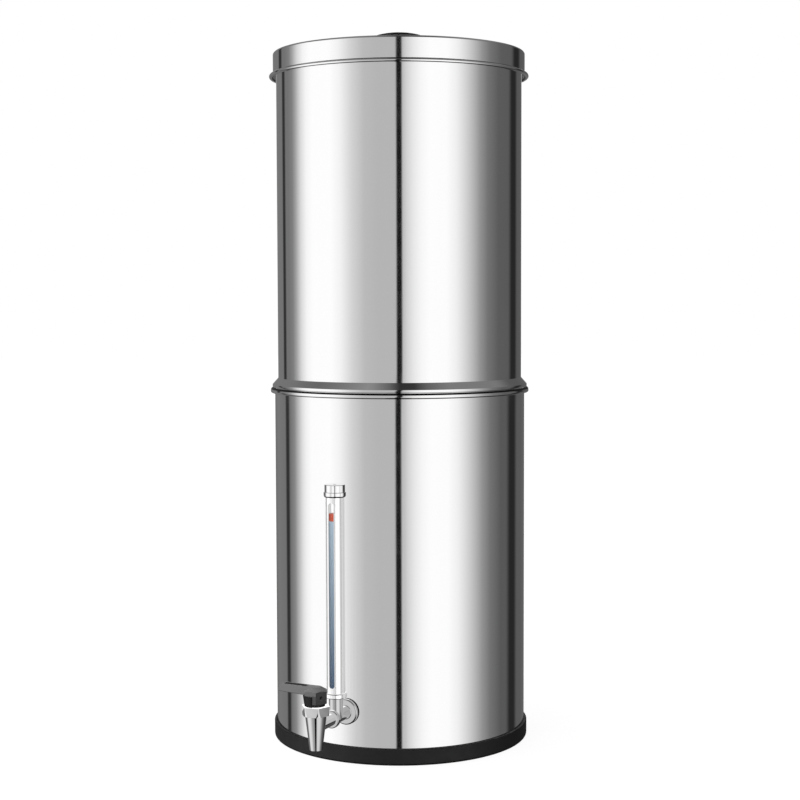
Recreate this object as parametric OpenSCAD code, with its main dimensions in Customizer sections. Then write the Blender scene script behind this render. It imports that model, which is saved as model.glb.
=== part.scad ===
// Gravity water filter: two stacked steel chambers, a lid, and a quarter-turn tap with a
// sight gauge. The origin is the middle of the resting face, +Z is up, the tap points to -Y.

/* [Chambers] */
// Outer diameter of the lower chamber and of the lid
chamber_d = 220; // [180:1:260]
// Clearance between the upper chamber and the wall of the lower one
upper_play = 1.95; // [1:0.05:3]
// Thickness of the sheet steel
sheet_t = 0.8; // [0.6:0.1:1.2]
// Height of the lower chamber, floor to rim
lower_h = 307; // [280:1:360]
// Height of the upper chamber above the joint
upper_h = 289.4; // [270:0.1:340]
// How deep the upper chamber nests in the lower one
nest_depth = 22; // [16:1:40]
// Radius between floor and wall of each chamber
corner_r = 6; // [3:0.5:12]
// Thickness of the rolled rims, across the roll
roll_d = 4.6; // [3.6:0.1:6]
// Thickness of the small roll at the top of the upper chamber
hem_d = 2.4; // [2:0.1:3]

/* [Shoulder of the upper chamber] */
// How far the shoulder stands out from the wall
shoulder_w = 5; // [3.5:0.1:6]
// Thickness of the rounded lip of the shoulder
lip_d = 2.9; // [2.2:0.1:3.6]
// Height of the shoulder, lip and cone together
shoulder_h = 8.2; // [6:0.1:12]

/* [Lid] */
// Height of the lid's skirt, to the foot of its roll
lid_h = 21.8; // [18:0.1:30]
// Radius of the lid's upper edge
lid_edge_r = 2.2; // [1.5:0.1:5]
// How far the lid's panel rises to its middle
lid_crown = 3; // [1:0.1:8]
// Height of the roll around the lid's foot
lid_roll_h = 2.9; // [2.4:0.1:4]
// How much wider than high that roll is
lid_roll_over = 1.2; // [0.6:0.1:2]

/* [Lid knob] */
// Diameter of the knob
knob_d = 43; // [34:0.5:56]
// Height of the knob above the lid
knob_h = 15.1; // [14:0.1:24]
// Diameter of the knob's foot
knob_foot_d = 22; // [16:0.5:28]
// Height of the waist below the knob's cap
knob_waist_h = 5.5; // [4:0.1:8]

/* [Base ring] */
// Height of the rubber base ring
ring_h = 14; // [10:0.5:24]
// Thickness of the ring around the chamber
ring_t = 2.4; // [1.8:0.1:4]
// Thickness of the ring's foot under the chamber
foot_t = 3; // [2:0.1:6]
// Width of the ring's foot
foot_w = 16; // [10:0.5:30]

/* [Filter elements] */
// Diameter of a filter block
filter_d = 68; // [50:1:74]
// Height of a filter element with its two caps
filter_h = 230; // [150:1:240]
// Distance between the two filter elements' axes
filter_pitch = 92; // [80:1:104]
// Diameter of the hollow in the middle of a block
filter_core_d = 22; // [14:1:30]
// Height of an element's lower cap
filter_base_h = 14; // [10:0.5:24]
// Height of an element's upper cap
filter_cap_h = 9; // [6:0.5:16]
// Thickness of the washer under an element
filter_washer_t = 3; // [2:0.1:4]
// Diameter of an element's threaded stem
stem_d = 10; // [8:0.5:14]
// Length of the stem below the floor
stem_reach = 26; // [20:0.5:40]
// Span of a wing nut's wings
wing_span = 38; // [30:1:44]

/* [Tap stem and barrel] */
// Height of the tap's axis above the resting face
tap_z = 44; // [36:0.5:60]
// Diameter of the threaded shank through the wall
shank_d = 16; // [12:0.5:20]
// Diameter of the tap's wall flange
flange_d = 21.6; // [20:0.1:30]
// Thickness of the wall flange
flange_t = 3; // [2:0.1:5]
// Diameter of the tee's barrel
barrel_d = 11; // [10.6:0.1:14]
// Diameter of the waterway in the barrel
waterway_d = 5.6; // [4:0.1:6]
// Distance from the chamber's wall to the sight gauge's axis
gauge_out = 21.5; // [18:0.5:34]
// Length of the barrel past the sight gauge's axis
barrel_past = 6; // [5:0.1:12]
// Diameter of the coupling ring
coupling_d = 14.8; // [13:0.1:18]
// Thickness of the coupling ring
coupling_t = 4.2; // [3:0.1:6]

/* [Tap body] */
// Distance from the chamber's wall to the spout's axis
spout_out = 58; // [52:0.5:76]
// Diameter of the tap body's tail
tail_d = 10; // [9.8:0.1:12]
// Height of the spout's tip above the resting face
spout_tip_z = 25.5; // [20:0.5:30]
// Diameter of the spout at its tip
spout_tip_d = 10.6; // [9.6:0.1:13]
// Diameter of the spout's outlet
outlet_d = 8; // [5:0.1:8.4]
// Diameter of the body's cone under the collar
cone_d = 17.6; // [16.8:0.1:20]
// Height of the hex collar's foot above the tap's axis
collar_rise = 10.2; // [9.8:0.1:14]
// Height of the hex collar
collar_h = 7.6; // [6:0.1:12]
// Width of the hex collar across its flats
collar_af = 20.8; // [19:0.1:26]
// How far the hex is turned from square to the barrel
hex_turn = 7; // [0:1:30]

/* [Ball valve] */
// Diameter of the valve ball
ball_d = 10; // [9.4:0.1:10.2]
// Diameter of the ball's ports
port_d = 4.8; // [3:0.1:5.2]
// Diameter of the spindle
spindle_d = 5.2; // [4.4:0.1:5.6]
// Turn of the lever from shut to open
lever_turn = 90; // [60:1:100]

/* [Bonnet and lever] */
// Diameter of the bonnet's wall at its foot
bonnet_foot_d = 18.2; // [17:0.1:20]
// Diameter of the bonnet's wall at its top
bonnet_top_d = 20.8; // [18:0.1:23]
// Height of the bonnet above the collar
bonnet_h = 8.7; // [8:0.1:14]
// Diameter of the lever's core inside the bonnet's wall
core_d = 11.6; // [10.4:0.1:12.4]
// Length of the lever from the spindle to its tip
lever_len = 33; // [26:0.5:48]
// Width of the lever at its foot
lever_foot_w = 12.5; // [9:0.1:15]
// Width of the lever at its top
lever_top_w = 8.2; // [6.4:0.1:9]
// Height of the lever at its hub
lever_h = 6.4; // [5:0.1:9]
// How far the underside of the lever's arm rises to its tip
lever_rise = 0.9; // [0:0.1:2]
// Turn of the shut lever from square to the barrel
hub_turn = -4; // [-10:1:10]
// Width of the lever's hub across its flats
hub_af = 17.8; // [17:0.1:21]
// Width of the pocket in the lever's top
pocket_w = 5; // [3:0.1:6]

/* [Sight gauge] */
// Diameter of the gauge's steel sleeve
sleeve_d = 15.8; // [15.2:0.1:18]
// Wall of the steel sleeve
sleeve_t = 0.9; // [0.6:0.1:1]
// Height of the clear tube
glass_h = 163; // [120:1:190]
// Wall of the clear tube
glass_t = 1.1; // [0.8:0.1:1.4]
// Diameter of the tee's upright neck
neck_d = 11.9; // [11.2:0.1:12.2]
// Height of the neck's top above the tap's axis
neck_rise = 19; // [17:0.5:28]
// Width of the sleeve's window
window_w = 5; // [3:0.1:7]
// Diameter of the ring at the gauge's foot
socket_d = 18.4; // [17.6:0.1:22]
// Height of that ring
socket_h = 4.2; // [3.6:0.1:8]
// Diameter of the gauge's cap
cap_d = 18.2; // [17.6:0.1:22]
// Diameter of the cap's upper part
cap_top_d = 16.8; // [15.8:0.1:17.4]
// Height of the float
float_h = 6.3; // [5:0.1:14]
// Height of the float's middle above the resting face
float_z = 209.6; // [150:0.1:212]

/* [Hidden] */
$fn = 96;

eps = 0.01;
big = 400;
// segments of the wide curves that a thin washer or panel follows
wall_fn = 2400;
// clearances: parts of one body, turning parts, and parts that lift off
fit = 0.05;
run = 0.06;
seat_gap = 0.3;

// chambers
chamber_r = chamber_d / 2;
inside_r = chamber_r - sheet_t;
upper_r = inside_r - upper_play;
roll_r = inside_r + roll_d / 2;
lower_z = foot_t;
joint_z = lower_z + lower_h;
shoulder_z = joint_z + seat_gap;
upper_floor_z = shoulder_z - nest_depth;
upper_rim_z = shoulder_z + upper_h;
upper_wall_h = upper_rim_z - hem_d / 2 - upper_floor_z;
upper_inside_z = upper_floor_z + sheet_t;

// lid
lid_top_z = upper_rim_z + seat_gap + sheet_t;
lid_foot_z = lid_top_z - lid_h;
lid_roll_w = lid_roll_h + lid_roll_over;
lid_skirt_h = lid_h - lid_roll_h / 2;
panel_r = chamber_r - lid_edge_r;
crown_r = (panel_r ^ 2 + lid_crown ^ 2) / (2 * lid_crown);
knob_z = lid_top_z + lid_crown;
knob_screw_d = 5;
knob_screw_reach = 10;
knob_head_d = 9.5;
knob_head_h = 2.8;
knob_washer_t = 1;
knob_washer_r = knob_head_d / 2 + 2;
panel_dip = knob_washer_r ^ 2 / crown_r;
panel_under_z = knob_z - sheet_t - panel_dip;
knob_under_r = 2.6;
knob_over_r = min(6, knob_h - knob_waist_h - knob_under_r - 0.5);
knob_dome = 3.2;

// base ring
ring_r = chamber_r + fit + ring_t;
ring_foot_r = chamber_r - foot_w;
ring_toe_r = 2.4;
ring_lip_r = 0.8;

// filter elements
filter_x = filter_pitch / 2;
stem_r = stem_d / 2;
stem_bore_d = 5;
filter_wall_t = 2;
filter_washer_z = upper_inside_z;
filter_base_z = filter_washer_z + filter_washer_t;
filter_block_z = filter_base_z + filter_base_h - filter_wall_t;
filter_top_z = filter_base_z + filter_h;
filter_cap_z = filter_top_z - filter_cap_h;
filter_block_h = filter_top_z - filter_wall_t - filter_block_z;
filter_base_d = filter_d + 2 * filter_wall_t;
washer_over = 8;
wing_h = 12;
wing_t = 3;
wing_hub_d = 16;
wing_plate_d = 22;
wing_plate_h = 2.5;

// tap stem
washer_t = 1.8;
washer_r = flange_d / 2 + 0.1;
flange_back = chamber_r + washer_t;
flange_face = flange_back + flange_t;
inner_washer_t = 2.2;
inner_washer_r = shank_d / 2 + 4.5;
nut_af = shank_d + 10;
nut_t = 7;
nut_face = inside_r - inner_washer_t;
shank_end = nut_face - nut_t - 2;
gauge_r = chamber_r + gauge_out;
barrel_end = gauge_r + barrel_past;
coupling_start = barrel_end + fit;
tail_start = coupling_start + coupling_t + fit;
spout_r = chamber_r + spout_out;
spigot_r = tail_d / 2 - 1;
spigot_in = 3;

// tap body
collar_z = tap_z + collar_rise;
collar_top_z = collar_z + collar_h;
gland_r = 6.5;
gland_z = collar_top_z - 11.8;
ball_r = ball_d / 2;
ball_gap = 0.1;
valve_r = ball_r + 0.3;
valve_floor_z = tap_z - ball_r - 2;
outlet_deep = 7.5;
seat_r = port_d / 2 + 1.5;
seat_back = ball_r + 2;
seat_play = 0.1;
outlet_seat_h = tap_z - seat_r - seat_play - valve_floor_z;

// spindle, bonnet and lever
spindle_r = spindle_d / 2;
spindle_foot_r = 4;
spindle_foot_t = 1.6;
spindle_foot_z = gland_z + 0.3;
tang_w = 2;
tang_len = 5;
tang_deep = 1.8;
seal_d = 1.4;
gland_seal_z = gland_z + 3.6;
spindle_seal_z = gland_z + 6.4;
spigot_h = collar_top_z - gland_z - 0.3;
flange_h = 2.2;
neck_flange_r = 7.6;
bonnet_z = collar_top_z;
bonnet_top_z = bonnet_z + bonnet_h;
core_r = core_d / 2;
wall_in_r = core_r + 0.4;
lever_z = bonnet_top_z + 0.4;
lever_top_z = lever_z + lever_h;
hub_rim_h = 3.1;
hub_top_r = 4.4;
skirt_z = bonnet_z + flange_h + 0.4;
block_start = 8;
block_span = 90;
stop_gap = 3;
spindle_top_z = lever_top_z - 2.2;
screw_turn = hub_turn + 60;
screw_d = 3;
screw_len = 5;
screw_rise = 1.85;
screw_z = (skirt_z + lever_z) / 2 + screw_rise;
spindle_flat = 0.5;
pocket_deep = 1.8;
pocket_start = 8;
pocket_wall = 2;
tip_slant = 2.2;

// sight gauge
neck_r = neck_d / 2;
neck_top_z = tap_z + neck_rise;
gauge_bore_d = 4.4;
seal_t = 2;
glass_z = neck_top_z + seal_t;
glass_top_z = glass_z + glass_h;
sleeve_in_r = sleeve_d / 2 - sleeve_t;
glass_r = sleeve_in_r - 0.4;
glass_in_r = glass_r - glass_t;
float_r = glass_in_r - 0.45;
socket_over = 1.6;
socket_z = neck_top_z - socket_h + socket_over;
sleeve_z = neck_top_z - 0.4;
socket_top_z = socket_z + socket_h;
cap_z = glass_top_z - 2;
sleeve_top_z = glass_top_z + 2.2;
cap_skirt_h = 4.4;
cap_h = 10.4;
window_rise = 4.3;
window_drop = 4.1;
window_foot_z = socket_top_z + window_rise;
window_top_z = cap_z - window_drop;
seal_hole_d = 5;
vent_d = 2;
barrel_edge_r = 0.8;

// ---------------------------------------------------------------- shared shapes

// A cup's outline in half section: radius r, height h, rounded at the foot
module cup_outline(r, h, corner) {
    square([r - corner, h]);
    translate([0, corner])
        square([r, h - corner]);
    translate([r - corner, corner])
        circle(r = corner);
}

// The sheet of a cup in half section
module cup_section(r, h, corner) {
    difference() {
        cup_outline(r, h, corner);
        translate([0, sheet_t])
            cup_outline(r - sheet_t, h, corner - sheet_t);
    }
}

// A rolled edge in section: the sheet comes up on the left, goes over and ends at the foot
module roll_section(d) {
    difference() {
        circle(d = d);
        circle(d = d - 2 * sheet_t);
        translate([-d / 2, -d / 2])
            square(d / 2);
    }
}

// A bar in section, w wide and h high, with round ends
module bar_section(w, h) {
    square([w - h, h], center = true);
    for (side = [-1, 1])
        translate([side * (w - h) / 2, 0])
            circle(d = h);
}

// A flattened rolled edge in section, with its sheet coming up on the left
module flat_roll_section(w, h) {
    difference() {
        bar_section(w, h);
        bar_section(w - 2 * sheet_t, h - 2 * sheet_t);
        translate([-w / 2, -h / 2])
            square([w / 2, h / 2]);
    }
}

// A half section of radius r and height h with the outer corners rounded at foot and top
module puck_outline(r, h, foot_r, top_r) {
    core = r - max(foot_r, top_r);
    square([core, h]);
    translate([0, foot_r])
        square([r, h - foot_r - top_r]);
    translate([0, foot_r])
        square([r - top_r, h - foot_r]);
    square([r - foot_r, h - top_r]);
    translate([r - foot_r, foot_r])
        circle(r = foot_r);
    translate([r - top_r, h - top_r])
        circle(r = top_r);
}

// A pie slice from angle a0 to a1, with enough points to clear radius r
module sector(r, a0, a1) {
    steps = ceil((a1 - a0) / 30);
    polygon(concat(
        [[0, 0]],
        [for (i = [0:steps]) let (a = a0 + (a1 - a0) * i / steps) r * [cos(a), sin(a)]]
    ));
}

// A tube along +Z
module tube(outer_r, inner_r, h) {
    difference() {
        cylinder(r = outer_r, h = h);
        translate([0, 0, -eps])
            cylinder(r = inner_r, h = h + 2 * eps);
    }
}

// A ring of round section, flat around +Z
module o_ring(r, d) {
    rotate_extrude()
        translate([r, 0])
            circle(d = d);
}

// A hexagonal prism with its first flat facing -Y
module hex_prism(af, h) {
    rotate([0, 0, 30])
        cylinder(d = af / cos(30), h = h, $fn = 6);
}

// Puts a child that stands along +Z on the tap's axis, at a distance from the chamber's axis
module along_tap(distance) {
    translate([0, -distance, tap_z])
        rotate([90, 0, 0])
            children();
}

// Puts a child at the spout's axis
module at_spout() {
    translate([0, -spout_r, 0])
        children();
}

// Puts a child at the sight gauge's axis
module at_gauge() {
    translate([0, -gauge_r, 0])
        children();
}

// ---------------------------------------------------------------- lower vessel

module base_ring() {
    color("#262626")
        rotate_extrude()
            difference() {
                puck_outline(ring_r, ring_h, ring_toe_r, ring_lip_r);
                translate([0, foot_t])
                    cup_outline(chamber_r + fit, ring_h, corner_r + fit);
                translate([0, -eps])
                    square([ring_foot_r, ring_h]);
            }
}

module lower_chamber() {
    color("silver")
        difference() {
            translate([0, 0, lower_z])
                rotate_extrude() {
                    cup_section(chamber_r, lower_h - roll_d / 2, corner_r);
                    translate([roll_r, lower_h - roll_d / 2])
                        roll_section(roll_d);
                }
            along_tap(shank_end)
                cylinder(r = shank_d / 2 + 0.25, h = chamber_r - shank_end + sheet_t);
        }
}

module tap_outer_washer() {
    color("#1c1c1c")
        difference() {
            along_tap(chamber_r - 2)
                tube(washer_r, shank_d / 2 + fit, washer_t + 2);
            cylinder(r = chamber_r, h = big, $fn = wall_fn);
        }
}

module tap_inner_washer() {
    color("#e8e8e4")
        intersection() {
            along_tap(nut_face)
                tube(inner_washer_r, shank_d / 2 + fit, inner_washer_t + eps);
            cylinder(r = inside_r, h = big, $fn = wall_fn);
        }
}

module tap_nut() {
    color("silver")
        along_tap(nut_face - nut_t)
            difference() {
                hex_prism(nut_af, nut_t);
                translate([0, 0, -eps])
                    cylinder(r = shank_d / 2 + fit, h = nut_t + 2 * eps);
            }
}

module gauge_tee() {
    color("silver")
        difference() {
            union() {
                along_tap(shank_end)
                    cylinder(d = shank_d, h = flange_back - shank_end + eps);
                along_tap(flange_back)
                    rotate_extrude()
                        puck_outline(flange_d / 2, flange_t, 0.4, 1.2);
                along_tap(flange_face - eps)
                    cylinder(d = barrel_d, h = barrel_end - flange_face + eps);
                at_gauge()
                    translate([0, 0, tap_z])
                        cylinder(r = neck_r, h = neck_top_z - tap_z);
            }
            along_tap(shank_end - eps)
                cylinder(d = waterway_d, h = barrel_end - shank_end);
            along_tap(barrel_end - spigot_in - 0.2)
                cylinder(r = spigot_r + fit, h = spigot_in + 0.2 + eps);
            at_gauge()
                translate([0, 0, tap_z])
                    cylinder(d = gauge_bore_d, h = neck_top_z - tap_z + eps);
        }
}

module tap_coupling_ring() {
    color("silver")
        along_tap(coupling_start)
            difference() {
                rotate_extrude()
                    puck_outline(coupling_d / 2, coupling_t, barrel_edge_r, barrel_edge_r);
                translate([0, 0, -eps])
                    cylinder(r = spigot_r + fit, h = coupling_t + 2 * eps);
            }
}

module tap_body() {
    color("silver")
        difference() {
            union() {
                at_spout() {
                    translate([0, 0, spout_tip_z])
                        cylinder(d1 = spout_tip_d, d2 = cone_d, h = collar_z - spout_tip_z);
                    translate([0, 0, collar_z])
                        hex_collar();
                }
                along_tap(tail_start)
                    cylinder(d = tail_d, h = spout_r - tail_start);
                along_tap(barrel_end - spigot_in)
                    cylinder(r = spigot_r, h = tail_start - barrel_end + spigot_in + eps);
            }
            along_tap(barrel_end - spigot_in - eps)
                cylinder(d = waterway_d, h = spout_r - barrel_end + spigot_in);
            along_tap(spout_r - seat_back)
                cylinder(r = seat_r + fit, h = seat_back);
            at_spout() {
                translate([0, 0, valve_floor_z])
                    cylinder(r = valve_r, h = collar_top_z - valve_floor_z);
                translate([0, 0, gland_z])
                    cylinder(r = gland_r, h = collar_h * 2);
                translate([0, 0, spout_tip_z - eps])
                    cylinder(d = outlet_d, h = outlet_deep);
                translate([0, 0, spout_tip_z])
                    cylinder(d = port_d, h = tap_z - spout_tip_z);
            }
        }
}

// The collar: a hexagon whose corners are turned down a little towards its foot
module hex_collar() {
    corner_d = collar_af / cos(30);
    intersection() {
        rotate([0, 0, hex_turn])
            hex_prism(collar_af, collar_h);
        cylinder(d1 = corner_d - 2, d2 = corner_d - 0.4, h = collar_h);
    }
}

module inlet_seat() {
    color("white")
        difference() {
            along_tap(spout_r - seat_back)
                tube(seat_r, port_d / 2, seat_back);
            at_spout() {
                translate([0, 0, tap_z])
                    sphere(r = ball_r + ball_gap);
                translate([-big / 2, 0, 0])
                    mirror([0, 1, 0])
                        cube([big, big, big]);
            }
        }
}

module outlet_seat() {
    color("white")
        at_spout()
            difference() {
                translate([0, 0, valve_floor_z])
                    tube(valve_r - fit, port_d / 2, outlet_seat_h);
                translate([0, 0, tap_z])
                    sphere(r = ball_r + ball_gap);
            }
}

// The angles between which the bonnet's wall stands: the rest is free for the lever's block
function wall_start() = -90 + block_start + block_span + lever_turn + stop_gap;
function wall_end() = 270 + block_start - stop_gap;

module bonnet() {
    color("#1e1e1e")
        at_spout()
            difference() {
                union() {
                    translate([0, 0, bonnet_z - spigot_h])
                        cylinder(r = gland_r - fit, h = spigot_h + eps);
                    translate([0, 0, bonnet_z])
                        cylinder(r = neck_flange_r, h = flange_h);
                    translate([0, 0, bonnet_z])
                        bonnet_wall();
                }
                translate([0, 0, gland_z])
                    cylinder(r = spindle_r + run, h = big / 10);
                translate([0, 0, gland_z])
                    cylinder(r = spindle_foot_r + 0.2, h = spindle_foot_t + 0.5);
                translate([0, 0, spindle_seal_z - seal_d / 2 - 0.1])
                    cylinder(r = spindle_r + seal_d + 0.2, h = seal_d + 0.2);
                translate([0, 0, gland_seal_z - seal_d / 2 - 0.1])
                    tube(gland_r + 1, gland_r - seal_d - 0.1, seal_d + 0.2);
            }
}

// The upright stop wall of the bonnet, on the side where the lever rests
module bonnet_wall() {
    intersection() {
        difference() {
            cylinder(d1 = bonnet_foot_d, d2 = bonnet_top_d, h = bonnet_h);
            translate([0, 0, flange_h])
                cylinder(r = wall_in_r, h = bonnet_h);
        }
        linear_extrude(bonnet_h)
            sector(bonnet_top_d, wall_start(), wall_end());
    }
}

module bonnet_seal() {
    color("#202020")
        at_spout()
            translate([0, 0, gland_seal_z])
                o_ring(gland_r - seal_d / 2 - fit, seal_d);
}

module spindle_seal() {
    color("#202020")
        at_spout()
            translate([0, 0, spindle_seal_z])
                o_ring(spindle_r + seal_d / 2 + run, seal_d);
}

// ---------------------------------------------------------------- sight gauge

module gauge_socket() {
    color("silver")
        at_gauge()
            translate([0, 0, socket_z])
                difference() {
                    rotate_extrude()
                        puck_outline(socket_d / 2, socket_h, 0.8, 1.2);
                    translate([0, 0, -eps])
                        cylinder(r = neck_r + fit, h = socket_h + 2 * eps);
                    translate([0, 0, sleeve_z - socket_z])
                        cylinder(d = sleeve_d + 2 * fit, h = socket_h);
                }
}

module gauge_sleeve() {
    color("silver")
        at_gauge()
            difference() {
                translate([0, 0, sleeve_z])
                    tube(sleeve_d / 2, sleeve_in_r, sleeve_top_z - sleeve_z);
                window();
            }
}

// The window in the sleeve: a long slot with round ends that faces away from the chamber
module window() {
    straight = window_top_z - window_foot_z - window_w;
    translate([-window_w / 2, -sleeve_d, window_foot_z + window_w / 2])
        cube([window_w, sleeve_d, straight]);
    for (z = [window_foot_z + window_w / 2, window_top_z - window_w / 2])
        translate([0, 0, z])
            rotate([90, 0, 0])
                cylinder(d = window_w, h = sleeve_d);
}

module gauge_glass() {
    color("#d4e4ec", 0.4)
        at_gauge()
            translate([0, 0, glass_z])
                tube(glass_r, glass_in_r, glass_h);
}

module gauge_lower_seal() {
    color("#dcdcd8")
        at_gauge()
            translate([0, 0, neck_top_z])
                tube(glass_r, seal_hole_d / 2, seal_t);
}

module gauge_upper_seal() {
    color("#dcdcd8")
        at_gauge()
            translate([0, 0, glass_top_z])
                tube(glass_r, seal_hole_d / 2, sleeve_top_z - glass_top_z);
}

module gauge_cap() {
    color("silver")
        at_gauge()
            translate([0, 0, cap_z])
                difference() {
                    rotate_extrude() {
                        puck_outline(cap_d / 2, cap_skirt_h, 1.6, 0.5);
                        puck_outline(cap_top_d / 2, cap_h, 0.5, 0.6);
                    }
                    translate([0, 0, -eps])
                        cylinder(d = sleeve_d + 2 * fit, h = sleeve_top_z - cap_z + eps);
                    cylinder(d = vent_d, h = cap_h + eps);
                }
}

module gauge_float() {
    color("#c8402c")
        at_gauge()
            translate([0, 0, float_z - float_h / 2])
                rotate_extrude()
                    puck_outline(float_r, float_h, 0.6, 0.6);
}

// ---------------------------------------------------------------- handle

module tap_lever() {
    color("#4a4a4a")
        at_spout()
            difference() {
                union() {
                    rotate([0, 0, hub_turn]) {
                        lever_arm();
                        lever_hub();
                    }
                    translate([0, 0, skirt_z])
                        cylinder(r = core_r, h = lever_z - skirt_z + eps);
                    translate([0, 0, skirt_z])
                        lever_block();
                }
                translate([0, 0, skirt_z - eps])
                    cylinder(r = spindle_r + fit, h = spindle_top_z - skirt_z + 0.2);
                along_screw(spindle_r - spindle_flat)
                    cylinder(d = screw_d + 2 * fit, h = hub_af);
                rotate([0, 0, hub_turn])
                    lever_pocket();
            }
}

// The arm: a trapezoid prism towards -X whose end slants and whose underside rises to the tip
module lever_arm() {
    hub_x = hub_af / 2;
    difference() {
        translate([0, 0, lever_z])
            rotate([90, 0, -90])
                linear_extrude(lever_len)
                    polygon([
                        [-lever_foot_w / 2, 0], [lever_foot_w / 2, 0],
                        [lever_top_w / 2, lever_h], [-lever_top_w / 2, lever_h]
                    ]);
        translate([-lever_len, 0, lever_z])
            rotate([0, atan2(tip_slant, lever_h), 0])
                translate([-lever_len, -lever_foot_w, -lever_h])
                    cube([lever_len, 2 * lever_foot_w, 4 * lever_h]);
        translate([-hub_x, 0, lever_z])
            rotate([0, atan2(lever_rise, lever_len - hub_x), 0])
                translate([-2 * lever_len, -lever_foot_w, -lever_h])
                    cube([2 * lever_len, 2 * lever_foot_w, lever_h]);
    }
}

// The hub's cap: a hexagon that slopes up to a small flat top
module lever_hub() {
    slope_h = lever_h - hub_rim_h;
    rim_r = hub_af / 2 / cos(30);
    translate([0, 0, lever_z])
        intersection() {
            hex_prism(hub_af, lever_h);
            union() {
                cylinder(r = rim_r, h = hub_rim_h);
                translate([0, 0, hub_rim_h])
                    cylinder(r1 = rim_r, r2 = hub_top_r, h = slope_h);
            }
        }
}

// The block that hangs from the hub and turns between the ends of the bonnet's wall
module lever_block() {
    intersection() {
        rotate([0, 0, hub_turn])
            hex_prism(hub_af, lever_z - skirt_z + eps);
        linear_extrude(lever_z - skirt_z + eps)
            sector(hub_af, -90 + block_start, -90 + block_start + block_span);
    }
}

module lever_pocket() {
    len = lever_len - pocket_start - pocket_wall - tip_slant;
    translate([-pocket_start - len, -pocket_w / 2, lever_top_z - pocket_deep])
        cube([len, pocket_w, lever_h]);
}

// Puts a child that stands along +Z on the grub screw's axis, at a distance from the spindle's
module along_screw(distance) {
    translate([0, 0, screw_z])
        rotate([0, 0, screw_turn - 90])
            translate([distance, 0, 0])
                rotate([0, 90, 0])
                    children();
}

module lever_screw() {
    color("#3c3c3c")
        at_spout()
            along_screw(spindle_r - spindle_flat + fit)
                difference() {
                    cylinder(d = screw_d, h = screw_len);
                    translate([0, 0, screw_len - 1.4])
                        cylinder(d = screw_d / 2, h = 2, $fn = 6);
                }
}

module spindle() {
    color("#b0b0b0")
        at_spout()
            difference() {
                union() {
                    translate([0, 0, spindle_foot_z])
                        cylinder(r = spindle_r, h = spindle_top_z - spindle_foot_z);
                    translate([0, 0, spindle_foot_z])
                        cylinder(r = spindle_foot_r, h = spindle_foot_t);
                    translate([-tang_len / 2, -tang_w / 2, tap_z + ball_r - tang_deep])
                        cube([tang_len, tang_w, spindle_foot_z - tap_z - ball_r + tang_deep + eps]);
                }
                along_screw(spindle_r - spindle_flat)
                    translate([0, 0, spindle_r])
                        cube([2 * spindle_r, 4 * spindle_r, 2 * spindle_r], center = true);
            }
}

// The ball: one port down to the spout, one port to the side that meets the inlet when open
module valve_ball() {
    color("silver")
        at_spout()
            translate([0, 0, tap_z])
                difference() {
                    sphere(r = ball_r);
                    translate([0, 0, -ball_d])
                        cylinder(d = port_d, h = ball_d);
                    rotate([0, 0, 90 - lever_turn])
                        rotate([0, 90, 0])
                            cylinder(d = port_d, h = ball_d);
                    translate([-ball_r, -tang_w / 2 - 0.1, ball_r - tang_deep - 0.2])
                        cube([ball_d, tang_w + 0.2, ball_r]);
                }
}

// ---------------------------------------------------------------- upper vessel

// The angle at which the shoulder's cone leaves the lip, for a lip of radius r
function cone_angle(r) =
    let (run_w = shoulder_w - r, rise = shoulder_h - r)
    atan2(rise, -run_w) - acos(r / norm([run_w, rise]));

// The shoulder in half section: the filled form, or its hollow when inset is the sheet
module shoulder_outline(inset) {
    lip_r = lip_d / 2;
    lip_x = upper_r + shoulder_w - lip_r;
    a = cone_angle(lip_r);
    out = [cos(a), sin(a)];
    up = [-sin(a), cos(a)];
    apex = [upper_r, shoulder_h] - inset * out;
    wall_x = upper_r - sheet_t - (inset > 0 ? 1 : 0);
    polygon([
        [wall_x, inset],
        [lip_x, inset],
        [lip_x, lip_r] + (lip_r - inset) * out,
        apex + up * (apex[0] - wall_x) / sin(a),
        [wall_x, lip_r]
    ]);
    translate([lip_x, lip_r])
        circle(r = lip_r - inset);
}

module upper_chamber() {
    color("silver")
        difference() {
            rotate_extrude() {
                difference() {
                    union() {
                        translate([0, upper_floor_z])
                            cup_section(upper_r, upper_wall_h, corner_r);
                        translate([0, shoulder_z])
                            shoulder_outline(0);
                    }
                    translate([0, shoulder_z])
                        shoulder_outline(sheet_t);
                }
                translate([upper_r - sheet_t + hem_d / 2, upper_rim_z - hem_d / 2])
                    roll_section(hem_d);
            }
            for (side = [-1, 1])
                translate([side * filter_x, 0, upper_floor_z - eps])
                    cylinder(r = stem_r + 0.5, h = sheet_t + 2 * eps);
        }
}

// ---------------------------------------------------------------- filter elements

// side is -1 for the left element and 1 for the right one
module filter_block(side) {
    color("#2c2c2c")
        translate([side * filter_x, 0, filter_block_z])
            tube(filter_d / 2, filter_core_d / 2, filter_block_h);
}

module filter_base(side) {
    color("#e4e4e0")
        translate([side * filter_x, 0, filter_base_z])
            difference() {
                union() {
                    cylinder(d = filter_base_d, h = filter_base_h);
                    translate([0, 0, -filter_washer_t - sheet_t - stem_reach])
                        cylinder(r = stem_r, h = stem_reach + filter_washer_t + sheet_t + eps);
                }
                translate([0, 0, filter_base_h - filter_wall_t])
                    cylinder(d = filter_d + 2 * fit, h = filter_wall_t + eps);
                translate([0, 0, -big / 2])
                    cylinder(d = stem_bore_d, h = big);
            }
}

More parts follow.
